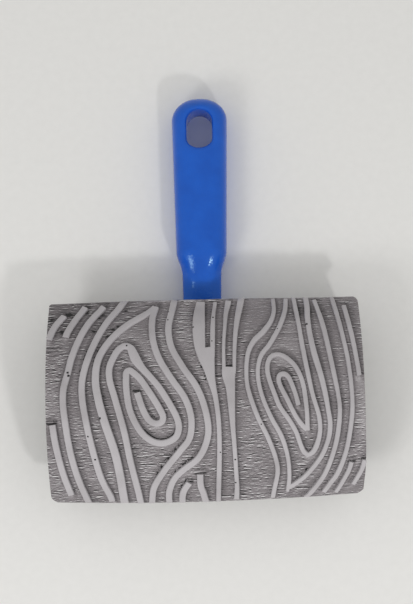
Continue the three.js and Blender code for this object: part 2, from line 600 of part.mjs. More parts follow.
// Flat bar with chamfered edges, for the tongue in the shell's channel and for the neck
function flatBar(width, y0, y1) {
  const x = width / 2;
  const z = TONGUE_THICKNESS;
  const e = TONGUE_EDGE;
  const section = [[x - e, 0], [x, e], [x, z - e], [x - e, z], [e - x, z], [-x, z - e], [-x, e], [e - x, 0]];
  const loopAt = (y) => section.map(([px, pz]) => [px, y, pz]);
  return loft([loopAt(y1), loopAt(y0)]);
}

// Hanging slot with a round top and an elliptical foot
function slotCutter() {
  const half = SLOT_WIDTH / 2;
  const footTop = SLOT_FOOT_Y + SLOT_FOOT_RISE;
  const shape = new THREE.Shape();
  shape.absarc(0, SLOT_TOP_Y - half, half, 0, Math.PI, false);
  shape.lineTo(-half, footTop);
  shape.absellipse(0, footTop, half, SLOT_FOOT_RISE, Math.PI, Math.PI * 2, false);
  const depth = GRIP_THICKNESS + 2 * OVERLAP;
  const geometry = new THREE.ExtrudeGeometry(shape, { depth, bevelEnabled: false, curveSegments: 9 });
  geometry.translate(0, 0, -OVERLAP);
  return geometry;
}

// Finishes

function finish(color, roughness, metalness) {
  return new THREE.MeshStandardMaterial({ color, roughness, metalness });
}
const greyRubber = finish(0x8f8e8f, 0.55, 0);
const blackPlastic = finish(0x26272b, 0.5, 0);
const bluePlastic = finish(0x265abe, 0.25, 0);
const zincedSteel = finish(0xa9abb0, 0.35, 1);

// Assembly

const grainingTool = new THREE.Group();

function place(name, geometry, material, x = 0, y = 0, z = 0) {
  const mesh = new THREE.Mesh(geometry, material.clone());
  mesh.name = name;
  mesh.position.set(x, y, z);
  grainingTool.add(mesh);
}

place('graining_pad', makePad(), greyRubber);
place('rocker_shell', makeShell(), blackPlastic);
place('handle', makeHandle(), bluePlastic);
for (const [name, side] of [['upper', 1], ['lower', -1]]) {
  place(`${name}_clamp_bar`, makeBar(side), zincedSteel);
  clampScrewPlaces().forEach((x, i) => {
    const screw = makeScrew(CLAMP_HEAD, CLAMP_HEAD_HEIGHT, CLAMP_SHANK, CLAMP_SCREW_LENGTH);
    place(`${name}_clamp_screw_${i + 1}`, screw, zincedSteel, x, side * BAR_Y, BAR_BOTTOM - GAP);
  });
  const screw = makeScrew(HANDLE_HEAD, HANDLE_HEAD_HEIGHT, HANDLE_SHANK, HANDLE_SCREW_LENGTH);
  const headTop = HANDLE_HEAD_SINK + HANDLE_HEAD_HEIGHT;
  place(`${name}_handle_screw`, screw, zincedSteel, 0, side * HANDLE_SCREW_Y, headTop);
}

export default grainingTool;
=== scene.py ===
# %% [markdown]
# # A wood graining tool
# This lesson dresses a hand tool that draws wood grain in wet glaze. A rubber pad with raised
# ridges is stretched over a curved plastic shell, its two long edges are folded round the shell
# and clamped behind it by steel bars, and a blue moulded handle is screwed into the shell's back.
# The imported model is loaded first. It fixes every size and place, and each fine piece made here
# takes the place of the plain solid that it stands for.

import math

import bmesh
import bpy
import numpy as np
from mathutils import Matrix, Vector


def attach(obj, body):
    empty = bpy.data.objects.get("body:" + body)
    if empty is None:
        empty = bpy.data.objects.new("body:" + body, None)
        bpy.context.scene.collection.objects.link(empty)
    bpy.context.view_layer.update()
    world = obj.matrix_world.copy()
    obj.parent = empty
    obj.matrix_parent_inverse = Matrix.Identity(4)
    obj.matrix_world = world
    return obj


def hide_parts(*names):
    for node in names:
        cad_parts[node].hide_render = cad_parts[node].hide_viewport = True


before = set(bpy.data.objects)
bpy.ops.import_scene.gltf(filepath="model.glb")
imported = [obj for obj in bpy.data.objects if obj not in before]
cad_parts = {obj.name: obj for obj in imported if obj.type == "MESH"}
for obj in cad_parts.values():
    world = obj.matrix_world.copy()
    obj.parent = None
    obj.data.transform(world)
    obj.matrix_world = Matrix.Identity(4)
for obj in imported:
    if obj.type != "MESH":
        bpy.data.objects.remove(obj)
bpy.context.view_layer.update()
print("solids:", ", ".join(sorted(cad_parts)))

# %% [markdown]
# The same sizes as in the model, in millimetres. Blender works in metres, so everything is
# worked out in millimetres and scaled once, when a piece's mesh is made.

# %% Sizes
MM = 0.001
PAD_WIDTH = 150.0
PAD_CHORD = 95.8
FACE_RADIUS = 68.0
RIDGE_HEIGHT = 1.2
WEB_THICKNESS = 2.5
HEM_WIDTH = 8.9
HEM_END_INSET = 6.5
CORNER_RADIUS = 2.2
SHARP_CORNER_RADIUS = 0.8
PAD_OVERHANG = 3.0
SHELL_WALL = 3.0
NOSE_RADIUS = 1.8
LEDGE_THICKNESS = 2.4
CHEEK_WALL = 2.5
BAR_THICKNESS = 1.5
BAR_WIDTH = 8.0
TONGUE_WIDTH = 19.4
TONGUE_THICKNESS = 12.0
TONGUE_REACH = 28.0
NECK_TO_BAR = 4.0
GAP = 0.3

web_radius = FACE_RADIUS - RIDGE_HEIGHT
shell_radius = web_radius - WEB_THICKNESS - GAP
shell_inner = shell_radius - SHELL_WALL
fold_radius = NOSE_RADIUS + GAP + WEB_THICKNESS + RIDGE_HEIGHT
nose_reach = shell_radius - NOSE_RADIUS
nose_y = PAD_CHORD / 2 - fold_radius
half_angle = math.asin(nose_y / nose_reach)
arc_run = FACE_RADIUS * half_angle
fold_run = fold_radius * (math.pi - half_angle)
bar_bottom = TONGUE_THICKNESS + NECK_TO_BAR
hem_bottom = bar_bottom + BAR_THICKNESS + GAP
ledge_z = hem_bottom + WEB_THICKNESS + GAP
nose_z = ledge_z + NOSE_RADIUS
axis_z = nose_z - nose_reach * math.cos(half_angle)
hem_edge_y = nose_y - HEM_WIDTH
bar_y = hem_edge_y + BAR_WIDTH / 2
crest_z = axis_z + FACE_RADIUS
print(f"arc {arc_run:.2f} mm each side of the crest, fold {fold_run:.2f} mm, crest {crest_z:.2f} mm high")

# %% [markdown]
# A few small helpers carry the whole lesson. `add` puts one node in a tree, with its settings and
# links. `maths`, `noise` and `ranged` add the three kinds that are used most and give back their
# results. `mesh_of` makes a mesh from millimetres, `carry` gives its points a number each, and
# `loose` puts it in the scene as a bare object. `piece` finishes one: it gives the mesh its
# material, lets it ride on the tool and says which solids it stands for.

# %% Helpers
def colour(code):
    """An sRGB hex code as the linear colour that Blender works with"""
    parts = [int(code[i:i + 2], 16) / 255 for i in (1, 3, 5)]
    return [c / 12.92 if c <= 0.04045 else ((c + 0.055) / 1.055) ** 2.4 for c in parts] + [1.0]


def add(tree, kind, inputs=None, **settings):
    """One node with its settings; an input is a value or another node's socket"""
    node = tree.nodes.new(kind)
    for name, value in settings.items():
        setattr(node, name, value)
    for name, value in (inputs or {}).items():
        if isinstance(value, bpy.types.NodeSocket):
            tree.links.new(value, node.inputs[name])
        else:
            node.inputs[name].default_value = value
    return node


def maths(tree, operation, *values, **settings):
    """The result of one sum on values or sockets"""
    return add(tree, "ShaderNodeMath", dict(enumerate(values)), operation=operation, **settings).outputs[0]


def noise(tree, place, size, detail, **more):
    """A soft noise from 0 to 1 whose blobs have about a size"""
    return add(tree, "ShaderNodeTexNoise",
               {"Vector": place, "Scale": 1 / size, "Detail": detail, **more}).outputs["Fac"]


def ranged(tree, value, low, high, to_low=0.0, to_high=1.0):
    """A value taken from one range to another and kept inside it"""
    return add(tree, "ShaderNodeMapRange", {"Value": value, "From Min": low, "From Max": high,
               "To Min": to_low, "To Max": to_high}).outputs[0]


def mesh_of(name, points, faces):
    """A mesh from points in millimetres"""
    mesh = bpy.data.meshes.new(name)
    mesh.from_pydata((np.asarray(points, float) * MM).tolist(), [], faces)
    mesh.update()
    return mesh


def carry(mesh, key, values):
    """Gives each point of a mesh a number of its own, under a name"""
    mesh.attributes.new(key, "FLOAT", "POINT").data.foreach_set("value", np.asarray(values, np.float32))


def turn_outwards(mesh, merge=0.0):
    """Turns a closed mesh's faces outwards, after merging points closer than merge millimetres"""
    work = bmesh.new()
    work.from_mesh(mesh)
    if merge:
        bmesh.ops.remove_doubles(work, verts=work.verts, dist=merge * MM)
    bmesh.ops.recalc_face_normals(work, faces=work.faces)
    work.to_mesh(mesh)
    work.free()


def loose(name, data):
    """A bare object in the scene, for a lamp, a helper or a mesh that isn't a piece yet"""
    thing = bpy.data.objects.new(name, data)
    bpy.context.scene.collection.objects.link(thing)
    return thing


def piece(name, mesh, material, slot, *nodes, smooth=30):
    """A finished piece: shaded smooth below an angle, riding on the tool, standing for solids"""
    thing = loose(name, mesh)
    mesh.materials.clear()
    mesh.materials.append(material)
    mesh.shade_smooth()
    if smooth < 180:
        mesh.set_sharp_from_angle(angle=math.radians(smooth))
    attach(thing, "root")
    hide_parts(*nodes)
    mesh.calc_loop_triangles()
    print(f"{name}: {len(mesh.vertices)} points, {len(mesh.loop_triangles)} triangles")

# %% [markdown]
# The picture was taken from almost straight above, with a long lens and a slight tilt. The
# camera's turn is written as three small angles, its distance as the height above the crest, and
# two shifts in its own picture plane put the tool where it is in the frame.

# %% Camera
ROLL, YAW, PITCH = 1.588, -0.726, -6.527
SENSOR_WIDTH = 36
FOCAL_LENGTH = 81.71
CAMERA_RIGHT = 0.732
CAMERA_UP = 44.581
CAMERA_HEIGHT = 641.28
to_camera = (Matrix.Rotation(math.radians(ROLL), 4, "Z") @ Matrix.Rotation(math.radians(YAW), 4, "Y")
             @ Matrix.Rotation(math.radians(PITCH), 4, "X"))
camera_data = bpy.data.cameras.new("camera")
camera_data.sensor_width = SENSOR_WIDTH
camera_data.lens = FOCAL_LENGTH
camera = loose("camera", camera_data)
seat = Matrix.Translation((0, 0, crest_z * MM)) @ to_camera.transposed()
camera.matrix_world = seat @ Matrix.Translation((CAMERA_RIGHT * MM, CAMERA_UP * MM, CAMERA_HEIGHT * MM))
bpy.context.scene.camera = camera
print("camera at", [round(v, 4) for v in camera.matrix_world.translation])

# %% [markdown]
# Light for a table-top picture: an even pale surround does most of the work, a broad soft lamp
# at the lower left lays a wide highlight on the glossy handle, and a smaller lamp at the lower
# right draws the short shadows above each ridge. A third lamp shines up from below, so that the
# back isn't dark when the tool is looked at from underneath. For the same views the floor is
# clear from below, and it lets lamp light through. From above it is plain pale paper.

# %% Light
SURROUND_STRENGTH = 0.74
LAMP_AIM = Vector((0, 0.02, 0.04))
scene = bpy.context.scene
scene.view_settings.view_transform = "Standard"
world = bpy.data.worlds.new("surround")
scene.world = world
world.use_nodes = True
world.node_tree.nodes.clear()
surround = add(world.node_tree, "ShaderNodeBackground",
               {"Color": colour("#F2F2F0"), "Strength": SURROUND_STRENGTH})
add(world.node_tree, "ShaderNodeOutputWorld", {"Surface": surround.outputs[0]})


def lamp(name, place, size, power):
    """A square lamp aimed at the middle of the rubber face, in metres and watts"""
    data = bpy.data.lights.new(name, "AREA")
    data.size = size
    data.energy = power
    thing = loose(name, data)
    thing.location = place
    thing.rotation_euler = (thing.location - LAMP_AIM).to_track_quat("Z", "Y").to_euler()


lamp("broad_lamp", (-0.62, -0.7, 0.8), 0.36, 3.2)
lamp("small_lamp", (0.44, -0.78, 0.8), 0.09, 2.8)
lamp("lamp_below", (0.15, 0.1, -0.9), 0.6, 3.0)
print(len(bpy.data.lights), "lamps")

# %% Floor
FLOOR_HALF = 9000.0
PAPER_MOTTLE = 3.846


def new_material(name):
    """A node material with nothing in it yet, and its tree"""
    material = bpy.data.materials.new(name)
    material.use_nodes = True
    material.node_tree.nodes.clear()
    return material, material.node_tree


floor_paint, tree = new_material("pale_paper")
paper_place = add(tree, "ShaderNodeTexCoord").outputs["Object"]
paper_tone = add(tree, "ShaderNodeValToRGB", {"Fac": noise(tree, paper_place, PAPER_MOTTLE * MM, 3.0)})
paper_tone.color_ramp.elements[0].color = colour("#E4E3E1")
paper_tone.color_ramp.elements[1].color = colour("#EAE9E7")
paper = add(tree, "ShaderNodeBsdfPrincipled", {"Base Color": paper_tone.outputs["Color"], "Roughness": 0.8})
see_through = add(tree, "ShaderNodeBsdfTransparent")
from_below = add(tree, "ShaderNodeNewGeometry").outputs["Backfacing"]
to_lamp = add(tree, "ShaderNodeLightPath").outputs["Is Shadow Ray"]
one_way = add(tree, "ShaderNodeMixShader", {0: maths(tree, "MAXIMUM", from_below, to_lamp),
              1: paper.outputs[0], 2: see_through.outputs[0]})
add(tree, "ShaderNodeOutputMaterial", {"Surface": one_way.outputs[0]})
floor_corners = [(x * FLOOR_HALF, y * FLOOR_HALF, 0) for x, y in ((-1, -1), (1, -1), (1, 1), (-1, 1))]
floor_mesh = mesh_of("floor", floor_corners, [(0, 1, 2, 3)])
floor_mesh.materials.append(floor_paint)
floor = loose("floor", floor_mesh)
print("floor", 2 * FLOOR_HALF / 1000, "m across")

# %% [markdown]
# The grain pattern is laid out flat first, as a printer would draw it: X across the pad and S
# the distance round the face from its crest, growing towards the handle. Each raised line is a
# few given points, with its width where that changes. The numbers are the model's own.

# %% The grain lines
RIDGE_WIDTH = 3.1
FINE_RIDGE_WIDTH = 2.2
WIDE_RIDGES = {
    "stub_1": [(-67.2, 45), (-71.5, 38), (-73.8, 31.2)],
    "stub_2": [(-57.3, 50.3), (-61.2, 43), (-65.1, 34.8), (-65.8, 32.3)],
    "arc_1": [(-48.4, 50.3), (-55.1, 40), (-59.6, 30), (-62.9, 20), (-64.2, 14), (-66.3, 6),
              (-66.7, 0), (-65.9, -10), (-64, -25), (-60.9, -40), (-57.3, -53.3)],
    "arc_2": [(-36.5, 57), (-39.5, 51.5), (-46.5, 40), (-51.2, 30), (-55, 20), (-57.5, 10),
              (-57.7, 2), (-56.1, -10), (-53.3, -25), (-50, -40), (-46.5, -50), (-45.9, -52.3)],
    "heart_left": [(-23.2, 48.9, 3.6), (-27, 45.4, 3.4), (-36, 38.8, 3.2), (-44.3, 30, 3.2),
                   (-49.9, 20, 3.3), (-51.3, 10, 3.5), (-50, 0, 3.7), (-47.5, -10, 3.8),
                   (-43.2, -25, 3.9), (-41.2, -38, 3.9), (-40.5, -48, 3.9), (-40, -53.6, 3.9)],
    "heart_right": [(-23.1, 49.4), (-24.5, 42), (-24.2, 30), (-21.5, 20), (-16, 10), (-9.5, 0),
                    (-6.9, -8), (-6.8, -15), (-8.1, -20), (-12, -25), (-19.8, -35), (-25.4, -45),
                    (-27.2, -56)],
    "knot_outer": [(-32, -56), (-33.5, -45), (-36, -30), (-38.4, -15), (-42.1, 0), (-44.7, 10),
                   (-44.7, 15.5), (-42.9, 20.4), (-40.3, 24.7), (-37.3, 26.5), (-34.8, 25.3, 3.5),
                   (-33.8, 23.2, 4.2), (-32.3, 19.5, 4.6), (-29.4, 15, 3.6), (-25.1, 10), (-21.2, 5),
                   (-15.4, -5), (-13.2, -10), (-12.6, -14), (-13.8, -18), (-16.5, -20.2),
                   (-20.5, -21.3), (-24.5, -20.6), (-28, -18.3), (-31.2, -14.5), (-35.4, -5),
                   (-36.8, 5), (-36.9, 10), (-36.6, 13), (-35.2, 13.9), (-33.5, 12.8), (-30.6, 10),
                   (-27.2, 5), (-21.3, -5), (-19.9, -8.5), (-20.4, -10.8), (-22.5, -11.8),
                   (-24.8, -11.3), (-26.8, -9.6), (-29.2, -5), (-31.8, 3)],
    "s_curve": [(-14, 53), (-15.5, 45), (-16.8, 35), (-15.3, 25), (-10.2, 15), (-3.8, 5),
                (-0.2, -5), (1.2, -15), (0.5, -20), (-1.3, -25), (-4.5, -30), (-10.5, -34.8),
                (-15.4, -40), (-18.4, -48), (-18.6, -56)],
    "stub_3": [(-71.9, -11.2), (-70.9, -20), (-68.3, -35), (-65.2, -48.3)],
    "stub_4": [(-8.6, -42.8), (-10.6, -46), (-12.1, -50), (-12.4, -56)],
    "stub_5": [(-3.4, -38), (-3.3, -45), (-2, -50), (-0.5, -56)],
}
FINE_RIDGES = {
    "fork_1_left": [(-1.2, 51.3, 4.1), (-1.9, 45, 5.3), (-2.2, 38, 6), (-2.2, 31, 5.8),
                    (-1.7, 24.2, 5), (-0.8, 20, 3.6)],
    "fork_1_right": [(5.8, 51, 1.8), (5, 45, 1.8), (4.4, 35, 2.3), (4.2, 27, 2.3), (4, 20, 2.2)],
    "fork_1_stem": [(0.5, 24.2, 9.2), (1.05, 20, 8.1), (2.1, 15, 5.8), (2.9, 10, 4.2),
                    (3.9, 5, 3.1), (4.9, 0, 2.5), (6, -10, 2.3), (6.2, -22, 2.3), (5.5, -40, 2.4),
                    (4.8, -56, 2.3)],
    "fork_2_left": [(12.2, 51.6, 2.9), (11, 45, 2.3), (10.1, 35, 1.7), (9.4, 25, 1.6), (9.2, 11, 1.8)],
    "fork_2_right": [(19, 56, 3.2), (17, 45, 2.9), (15.5, 35, 2.3), (14.6, 25, 1.9), (14, 11, 1.6)],
    "fork_2_stem": [(11.6, 14.2, 6.6), (11.4, 10, 6.2), (12, 5, 4.6), (12.3, -3, 3.5),
                    (12.7, -15, 2.4), (13.1, -22, 2.2), (13.7, -38, 2.1), (13.9, -47, 2.3),
                    (13.6, -52.5, 2.6)],
    "bend_1": [(33.9, 52.6, 2), (34, 45, 2), (32.4, 38.7, 2.2), (28.5, 32.5, 2.6), (23.9, 27.5, 2.5),
               (21.2, 22.3, 2.2), (19.9, 15, 2), (19.9, 6, 2), (21.3, -0.5), (24.5, -10), (29, -20),
               (32.3, -30), (33.3, -37), (32.2, -45), (30.9, -52.6)],
    "bend_2": [(40.1, 52.5, 2.1), (39.3, 45), (36.2, 35), (30.9, 25), (27.1, 19.9), (25.4, 14.5, 2),
               (25.2, 8, 2), (26.9, -0.5, 2), (30.6, -10, 2.1), (35.5, -20, 2.2), (38.1, -30, 2),
               (38.8, -40, 2), (38.4, -46, 2), (37.9, -49.3, 1.6)],
    "bend_3": [(38.4, -47, 2.6), (40.9, -45.4, 2.4), (45.4, -41.5), (49.1, -37.1), (53.9, -30),
               (56.1, -25), (57.7, -19.5, 2.3), (58.2, -13.5, 2.3), (57.4, -7), (56.4, 0, 2.4),
               (54.6, 9, 2.6), (52, 20, 2.8), (50.5, 30, 2.5), (49.9, 40, 2.6), (50.1, 47, 2.6),
               (49.6, 56, 2.6)],
    "knot_2_outer": [(43.5, 57, 2), (44.6, 45, 2.1), (45.6, 35, 2), (46.6, 24), (48.6, 10),
                     (50.4, 0, 2.1), (53, -10, 2.1), (53.5, -15.5, 2.1), (53, -20),
                     (51.4, -25.2, 2.5), (49.6, -28, 2.4), (47.5, -28.9, 2.3), (45.6, -27.2, 2.3),
                     (44.1, -23.5), (42.3, -17.8), (39.3, -12), (34.6, -4.7), (32.7, 0.5),
                     (30.3, 8), (29.6, 12.5), (30.2, 16.6), (32, 19.2), (35.1, 20, 1.9),
                     (38.3, 18.5), (42.2, 14.6), (44.7, 9.8), (46.2, 4.5), (47, -2),
                     (47.5, -9, 2.1), (47.5, -16.9, 2.4)],
    "knot_2_inner": [(47.3, -16.4, 2.6), (45.4, -14.6, 2.4), (42.5, -10.5), (37.7, -0.3),
                     (35.4, 4.6), (34.7, 7.6), (35.4, 9.7, 2.4), (37.3, 10.2, 2.5), (39.1, 9, 2.3),
                     (40.9, 5), (42.5, 0, 2.1), (43.6, -4.8, 2.3)],
    "sweep_1": [(53.8, 51.2, 2.1), (55.1, 45, 2), (57, 35, 2.3), (59.2, 20), (61.2, 7), (62.3, 0, 2),
                (62.9, -7.5, 2.1), (61.5, -20, 2.3), (59, -30, 2.2), (55.4, -40, 2.3),
                (50.5, -48.5, 2.4), (46.8, -54, 2.4)],
    "sweep_2": [(62, 56, 2), (63.6, 45, 2.1), (65.8, 30, 2), (67.8, 15, 2), (68.8, 0, 2),
                (68.7, -8, 2.1), (67.1, -20, 2.2), (64.9, -30, 2.2), (61.3, -40, 2.4),
                (58.3, -45, 2.4), (55.2, -50.6, 2.2)],
    "stub_6": [(67.8, 47), (68.9, 39), (70.4, 28), (71.9, 15, 2.1), (72.6, 8.5, 2.2)],
    "stub_7": [(68.1, -33.4), (67, -37.5), (64.9, -42.5, 2.1), (61, -51, 2)],
    "stub_8": [(74.3, -32.5), (73, -37.5), (69.1, -46, 2)],
}

# %% [markdown]
# A centripetal Catmull-Rom curve joins each line's points, because it passes through every one of
# them without loops. It is then cut into even steps, so that widths change smoothly along it.

# %% Smooth lines
LINE_STEP = 0.5
DENSE_STEPS = 24


def through(points, width):
    """A smooth line of (x, s, width) through chosen points, spaced evenly along its length"""
    p = np.array([[q[0], q[1], q[2] if len(q) > 2 else width] for q in points], float)
    p = np.vstack([2 * p[0] - p[1], p, 2 * p[-1] - p[-2]])
    t = np.concatenate([[0], np.cumsum(np.sqrt(np.linalg.norm(np.diff(p[:, :2], axis=0), axis=1)))])
    dense = []
    for i in range(1, len(p) - 2):
        u = np.linspace(t[i], t[i + 1], DENSE_STEPS, endpoint=False)[:, None]
        a = [((t[k + 1] - u) * p[k] + (u - t[k]) * p[k + 1]) / (t[k + 1] - t[k]) for k in (i - 1, i, i + 1)]
        b = [((t[i + 1 + k] - u) * a[k] + (u - t[i - 1 + k]) * a[k + 1]) / (t[i + 1 + k] - t[i - 1 + k])
             for k in (0, 1)]
        dense.append(((t[i + 1] - u) * b[0] + (u - t[i]) * b[1]) / (t[i + 1] - t[i]))
    dense = np.vstack(dense + [p[-2]])
    run = np.concatenate([[0], np.cumsum(np.linalg.norm(np.diff(dense[:, :2], axis=0), axis=1))])
    even = np.linspace(0, run[-1], max(int(run[-1] / LINE_STEP), 2) + 1)
    return np.stack([np.interp(even, run, dense[:, k]) for k in range(3)], axis=1)


grain = {name: through(points, RIDGE_WIDTH) for name, points in WIDE_RIDGES.items()}
grain |= {name: through(points, FINE_RIDGE_WIDTH) for name, points in FINE_RIDGES.items()}
grain_run = sum(len(line) for line in grain.values()) * LINE_STEP
print(f"{len(grain)} raised lines, {grain_run / 1000:.2f} m in all")

# %% [markdown]
# One function wraps the flat drawing round the tool: over the arc of the face, round the folded
# edge and back under the shell as the hem. The lift is measured out from the ridge tops, so the
# floor between the ridges is at minus the ridge height. Along the two long edges the stretched
# rubber stands out a millimetre more in the middle than at the corners. `past` and `short_of` are
# soft steps, which say where on the pad something holds. `cloud` gives soft random values of a
# chosen grain size; its seed makes them the same every time.

# %% Wrapping and randomness
UPPER_SLACK, UPPER_CROWN, LEAST_UPPER_SLACK = 0.55, 0.6, 0.4
LOWER_CROWN = 1.35
SLACK_FROM, SLACK_RAMP = 48, 6
SLACK_KEPT = 0.6
CLOUD_CELLS = 256
CLOUD_X, CLOUD_Y = 97.3, 61.7


def ease(value):
    """A smooth step that rises from 0 to 1 while the value does"""
    c = np.clip(value, 0, 1)
    return c * c * (3 - 2 * c)


def past(value, edge, soft):
    """0 before an edge and 1 beyond it, over a soft stretch that starts at the edge"""
    return ease((value - edge) / soft)


def short_of(value, edge, soft):
    """1 well before an edge and 0 beyond it, over a soft stretch that ends at the edge"""
    return ease((edge - value) / soft)


def crown(x, middle, reach):
    """1 in the middle, falling as a parabola to 0 at the reach on both sides"""
    return 1 - ((x - middle) / reach) ** 2


def slack(x, s):
    """How far the rubber stands out from the shell along its two long edges"""
    upper = np.maximum(UPPER_SLACK + UPPER_CROWN * crown(x, -15, 60), LEAST_UPPER_SLACK)
    lower = LOWER_CROWN * crown(x, -8, 62)
    run = np.abs(s)
    tucked = past(run, arc_run + fold_run * SLACK_KEPT, fold_run * (1 - SLACK_KEPT))
    return np.where(s < 0, lower, upper) * past(run, SLACK_FROM, SLACK_RAMP) * (1 - tucked)


def wrap(x, s, lift):
    """Flat places as points on the pad"""
    side = np.where(s < 0, -1.0, 1.0)
    run = np.abs(s)
    angle = np.minimum(run, arc_run) / FACE_RADIUS
    reach = FACE_RADIUS + lift
    turn = half_angle + np.clip(run - arc_run, 0, fold_run) / fold_radius
    curl = fold_radius + lift
    beyond = np.maximum(run - arc_run - fold_run, 0)
    on_arc = run <= arc_run
    y = np.where(on_arc, reach * np.sin(angle), nose_y + curl * np.sin(turn) - beyond)
    z = np.where(on_arc, axis_z + reach * np.cos(angle), nose_z + curl * np.cos(turn))
    return np.stack([x + 0 * s, side * (y + slack(x, s)), z], axis=-1)


def cloud(x, y, size_x, size_y, seed):
    """Smooth random values from -1 to 1 whose blobs are about size_x by size_y"""
    chance = np.random.default_rng(seed).uniform(-1, 1, (CLOUD_CELLS, CLOUD_CELLS))
    u, v = x / size_x + CLOUD_X, y / size_y + CLOUD_Y
    column, row = np.floor(u).astype(int), np.floor(v).astype(int)
    across, up = ease(u - column), ease(v - row)

    def corner(a, b):
        """The random value at one corner of each place's cell"""
        return chance[(column + a) % CLOUD_CELLS, (row + b) % CLOUD_CELLS]

    low = corner(0, 0) * (1 - across) + corner(1, 0) * across
    high = corner(0, 1) * (1 - across) + corner(1, 1) * across
    return low * (1 - up) + high * up


print(f"the lower edge stands out {float(slack(0.0, -arc_run)):.2f} mm in its middle")

# %% [markdown]
# The rubber's floor is rough on the real pad, because its mould was cut by hand: wavy scored
# lines one or two millimetres apart run across it, with small burrs, drawn bright as painted light,
# and dark bites where the cutter met a ridge, drawn only on the ridges' shaded sides and so partly
# painted shade. Larger features don't repeat, so they are lists of places. Blotches, zones with
# bites and shaded feet are (x, s, size); the shaded feet are a painted shadow along a few ridges'
# feet. Marks are single strokes from one x to another, as (x, x, s, depth); those just above the
# upper end of a ridge or the closed end of a slot are painted shadow lines. Patches are wide and
# faint, as (x, s, size, depth). A negative depth is darker.

# %% The floor's relief
FLOOR = -RIDGE_HEIGHT
BLOTCH_DEPTH = 0.2
BLOTCH_FLATNESS = 1.3
LIP_RISE = 0.55
RIM_RISE = 0.95
LIP_S, LIP_HALF = 52.9, 0.6
RIM_S, RIM_RAMP = 50.5, 4
MARK_HEIGHT = 0.33
MARK_END = 0.7
MARK_SWAY = 0.3
SEARCH_REACH, FAR_FROM_RIDGES = 8.0, 9.0
LEAST_BITE = 0.12
BLOTCHES = [(-67.7, 35.7, 1.1), (-73.4, 43.6, 1.3), (-52.6, 35.5, 1.0), (-48.2, 45.7, 1.2),
            (-43.5, 36.7, 1.1), (-46.1, 32.6, 1.0), (-41.0, 38.2, 0.9), (-64.5, 46.5, 1.5),
            (-60.7, 43.3, 1.3), (-55.9, 47.6, 1.1), (-37.4, 48.2, 0.8), (-50.0, 43.9, 0.9),
            (-57.1, 37.5, 0.8)]
# strokes on the floor; those just above a ridge's upper end or a slot's closed end are painted shadow lines
STROKES_AND_SHADOW_LINES = [(-75.5, -61.6, 31.6, 0.6), (-75, -67.2, 26.7, -0.8), (-75, -68.6, 24.6, -0.7),
         (-73.8, -66.4, 22.4, -0.6), (5.0, 9.0, 10.1, -1.1), (5.0, 9.0, 9.3, 0.4),
         (-6.2, -0.8, -36.9, 1.0), (-6.0, -0.6, -37.9, -1.5), (-10.8, -7.0, -42.5, -1.3),
         (-74.9, -70.2, -10.6, -1.6), (-34.0, -29.8, 3.9, -1.8), (0.2, 2.9, 24.9, -1.0),
         (10.0, 13.2, 14.9, -1.0), (66.4, 69.8, -33.4, -2.0), (72.6, 75, -31.8, -1.6)]
BITTEN = [(-15.3, -25.1, 3.5), (-19.2, -28.6, 3.5), (-23.1, -33.8, 3.5), (-6.0, -30.0, 3),
          (-9.9, -34.2, 3.5), (-13.0, -39.0, 2.5), (-12.2, -44.5, 2.5), (-0.6, 14.3, 3),
          (0.5, 8.0, 3), (45.5, -37.8, 2.5), (-57.6, 12.9, 2), (-53.0, 21.9, 3),
          (-50.5, 27.0, 2.5), (-45.7, 36.1, 3.5), (-62.0, 44.0, 3), (-22.9, -9.4, 2.0)]
# a painted shadow along the feet of a few ridges
SHADED_FEET = [(-27.5, -16, 2.5), (-24, -18.8, 2.5), (-20.3, -19.2, 2.5), (-16.8, -18, 2.5)]
PATCHES = [(-52, 18, 10, -0.28), (-50, 2, 9, -0.28), (-46, -9, 8, -0.22), (46.5, 45, 5, -0.45),
           (36, 44, 4, -0.15), (68, 44, 7, -0.2), (-1, 45, 5, -0.45), (-40, 35, 6, 0.3),
           (-72, -16, 5, -0.25), (70, -31, 6, 0.14), (46, -5, 6, -0.12), (-24, -36, 6, 0.15),
           (68, -20, 6, -0.1), (53, 45, 5, -0.35), (34, 5, 7, -0.35), (50, 14, 6, -0.3),
           (-50, 26, 5, -0.3), (60, -5, 6, -0.22), (-16, -5, 8, -0.22), (-40, -25, 6, -0.28),
           (-12, -34, 7, 0.3), (50, -35, 6, 0.16), (62, -26, 6, 0.14), (40, 20, 8, 0.14),
           (5, 15, 5, -0.2), (-71, -35, 6, 0.1), (50, -45, 5, 0.12)]


def gap_to_ridges(x, s):
    """Distance from each place to the nearest ridge's side, negative inside a ridge"""
    columns, rows = x[0], s[:, 0]
    found = np.full(x.shape, FAR_FROM_RIDGES)
    for line in grain.values():
        for px, ps, width in line:
            i0, i1 = np.searchsorted(rows, (ps - SEARCH_REACH, ps + SEARCH_REACH))
            j0, j1 = np.searchsorted(columns, (px - SEARCH_REACH, px + SEARCH_REACH))
            near = np.hypot(x[i0:i1, j0:j1] - px, s[i0:i1, j0:j1] - ps) - width / 2
            found[i0:i1, j0:j1] = np.minimum(found[i0:i1, j0:j1], near)
    return found


def stroke(value, middle, width):
    """1 on a line and fading to 0 beside it"""
    return np.exp(-((value - middle) / width) ** 2)


def spots(x, s, places, flatness=1.0):
    """Soft round spots, each 1 in its middle"""
    return sum(np.exp(-(np.hypot(x - px, (s - ps) * flatness) / size) ** 2) for px, ps, size in places)


def marks(x, s):
    """The single strokes, swaying a little as a hand does; some are painted shadow lines"""
    wavy = s + MARK_SWAY * cloud(x, 0 * s, 2.4, 1, 25)
    return sum(depth * past(x, x0 - MARK_END / 2, MARK_END) * short_of(x, x1 + MARK_END / 2, MARK_END)
               * stroke(wavy, middle, MARK_HEIGHT) for x0, x1, middle, depth in STROKES_AND_SHADOW_LINES)


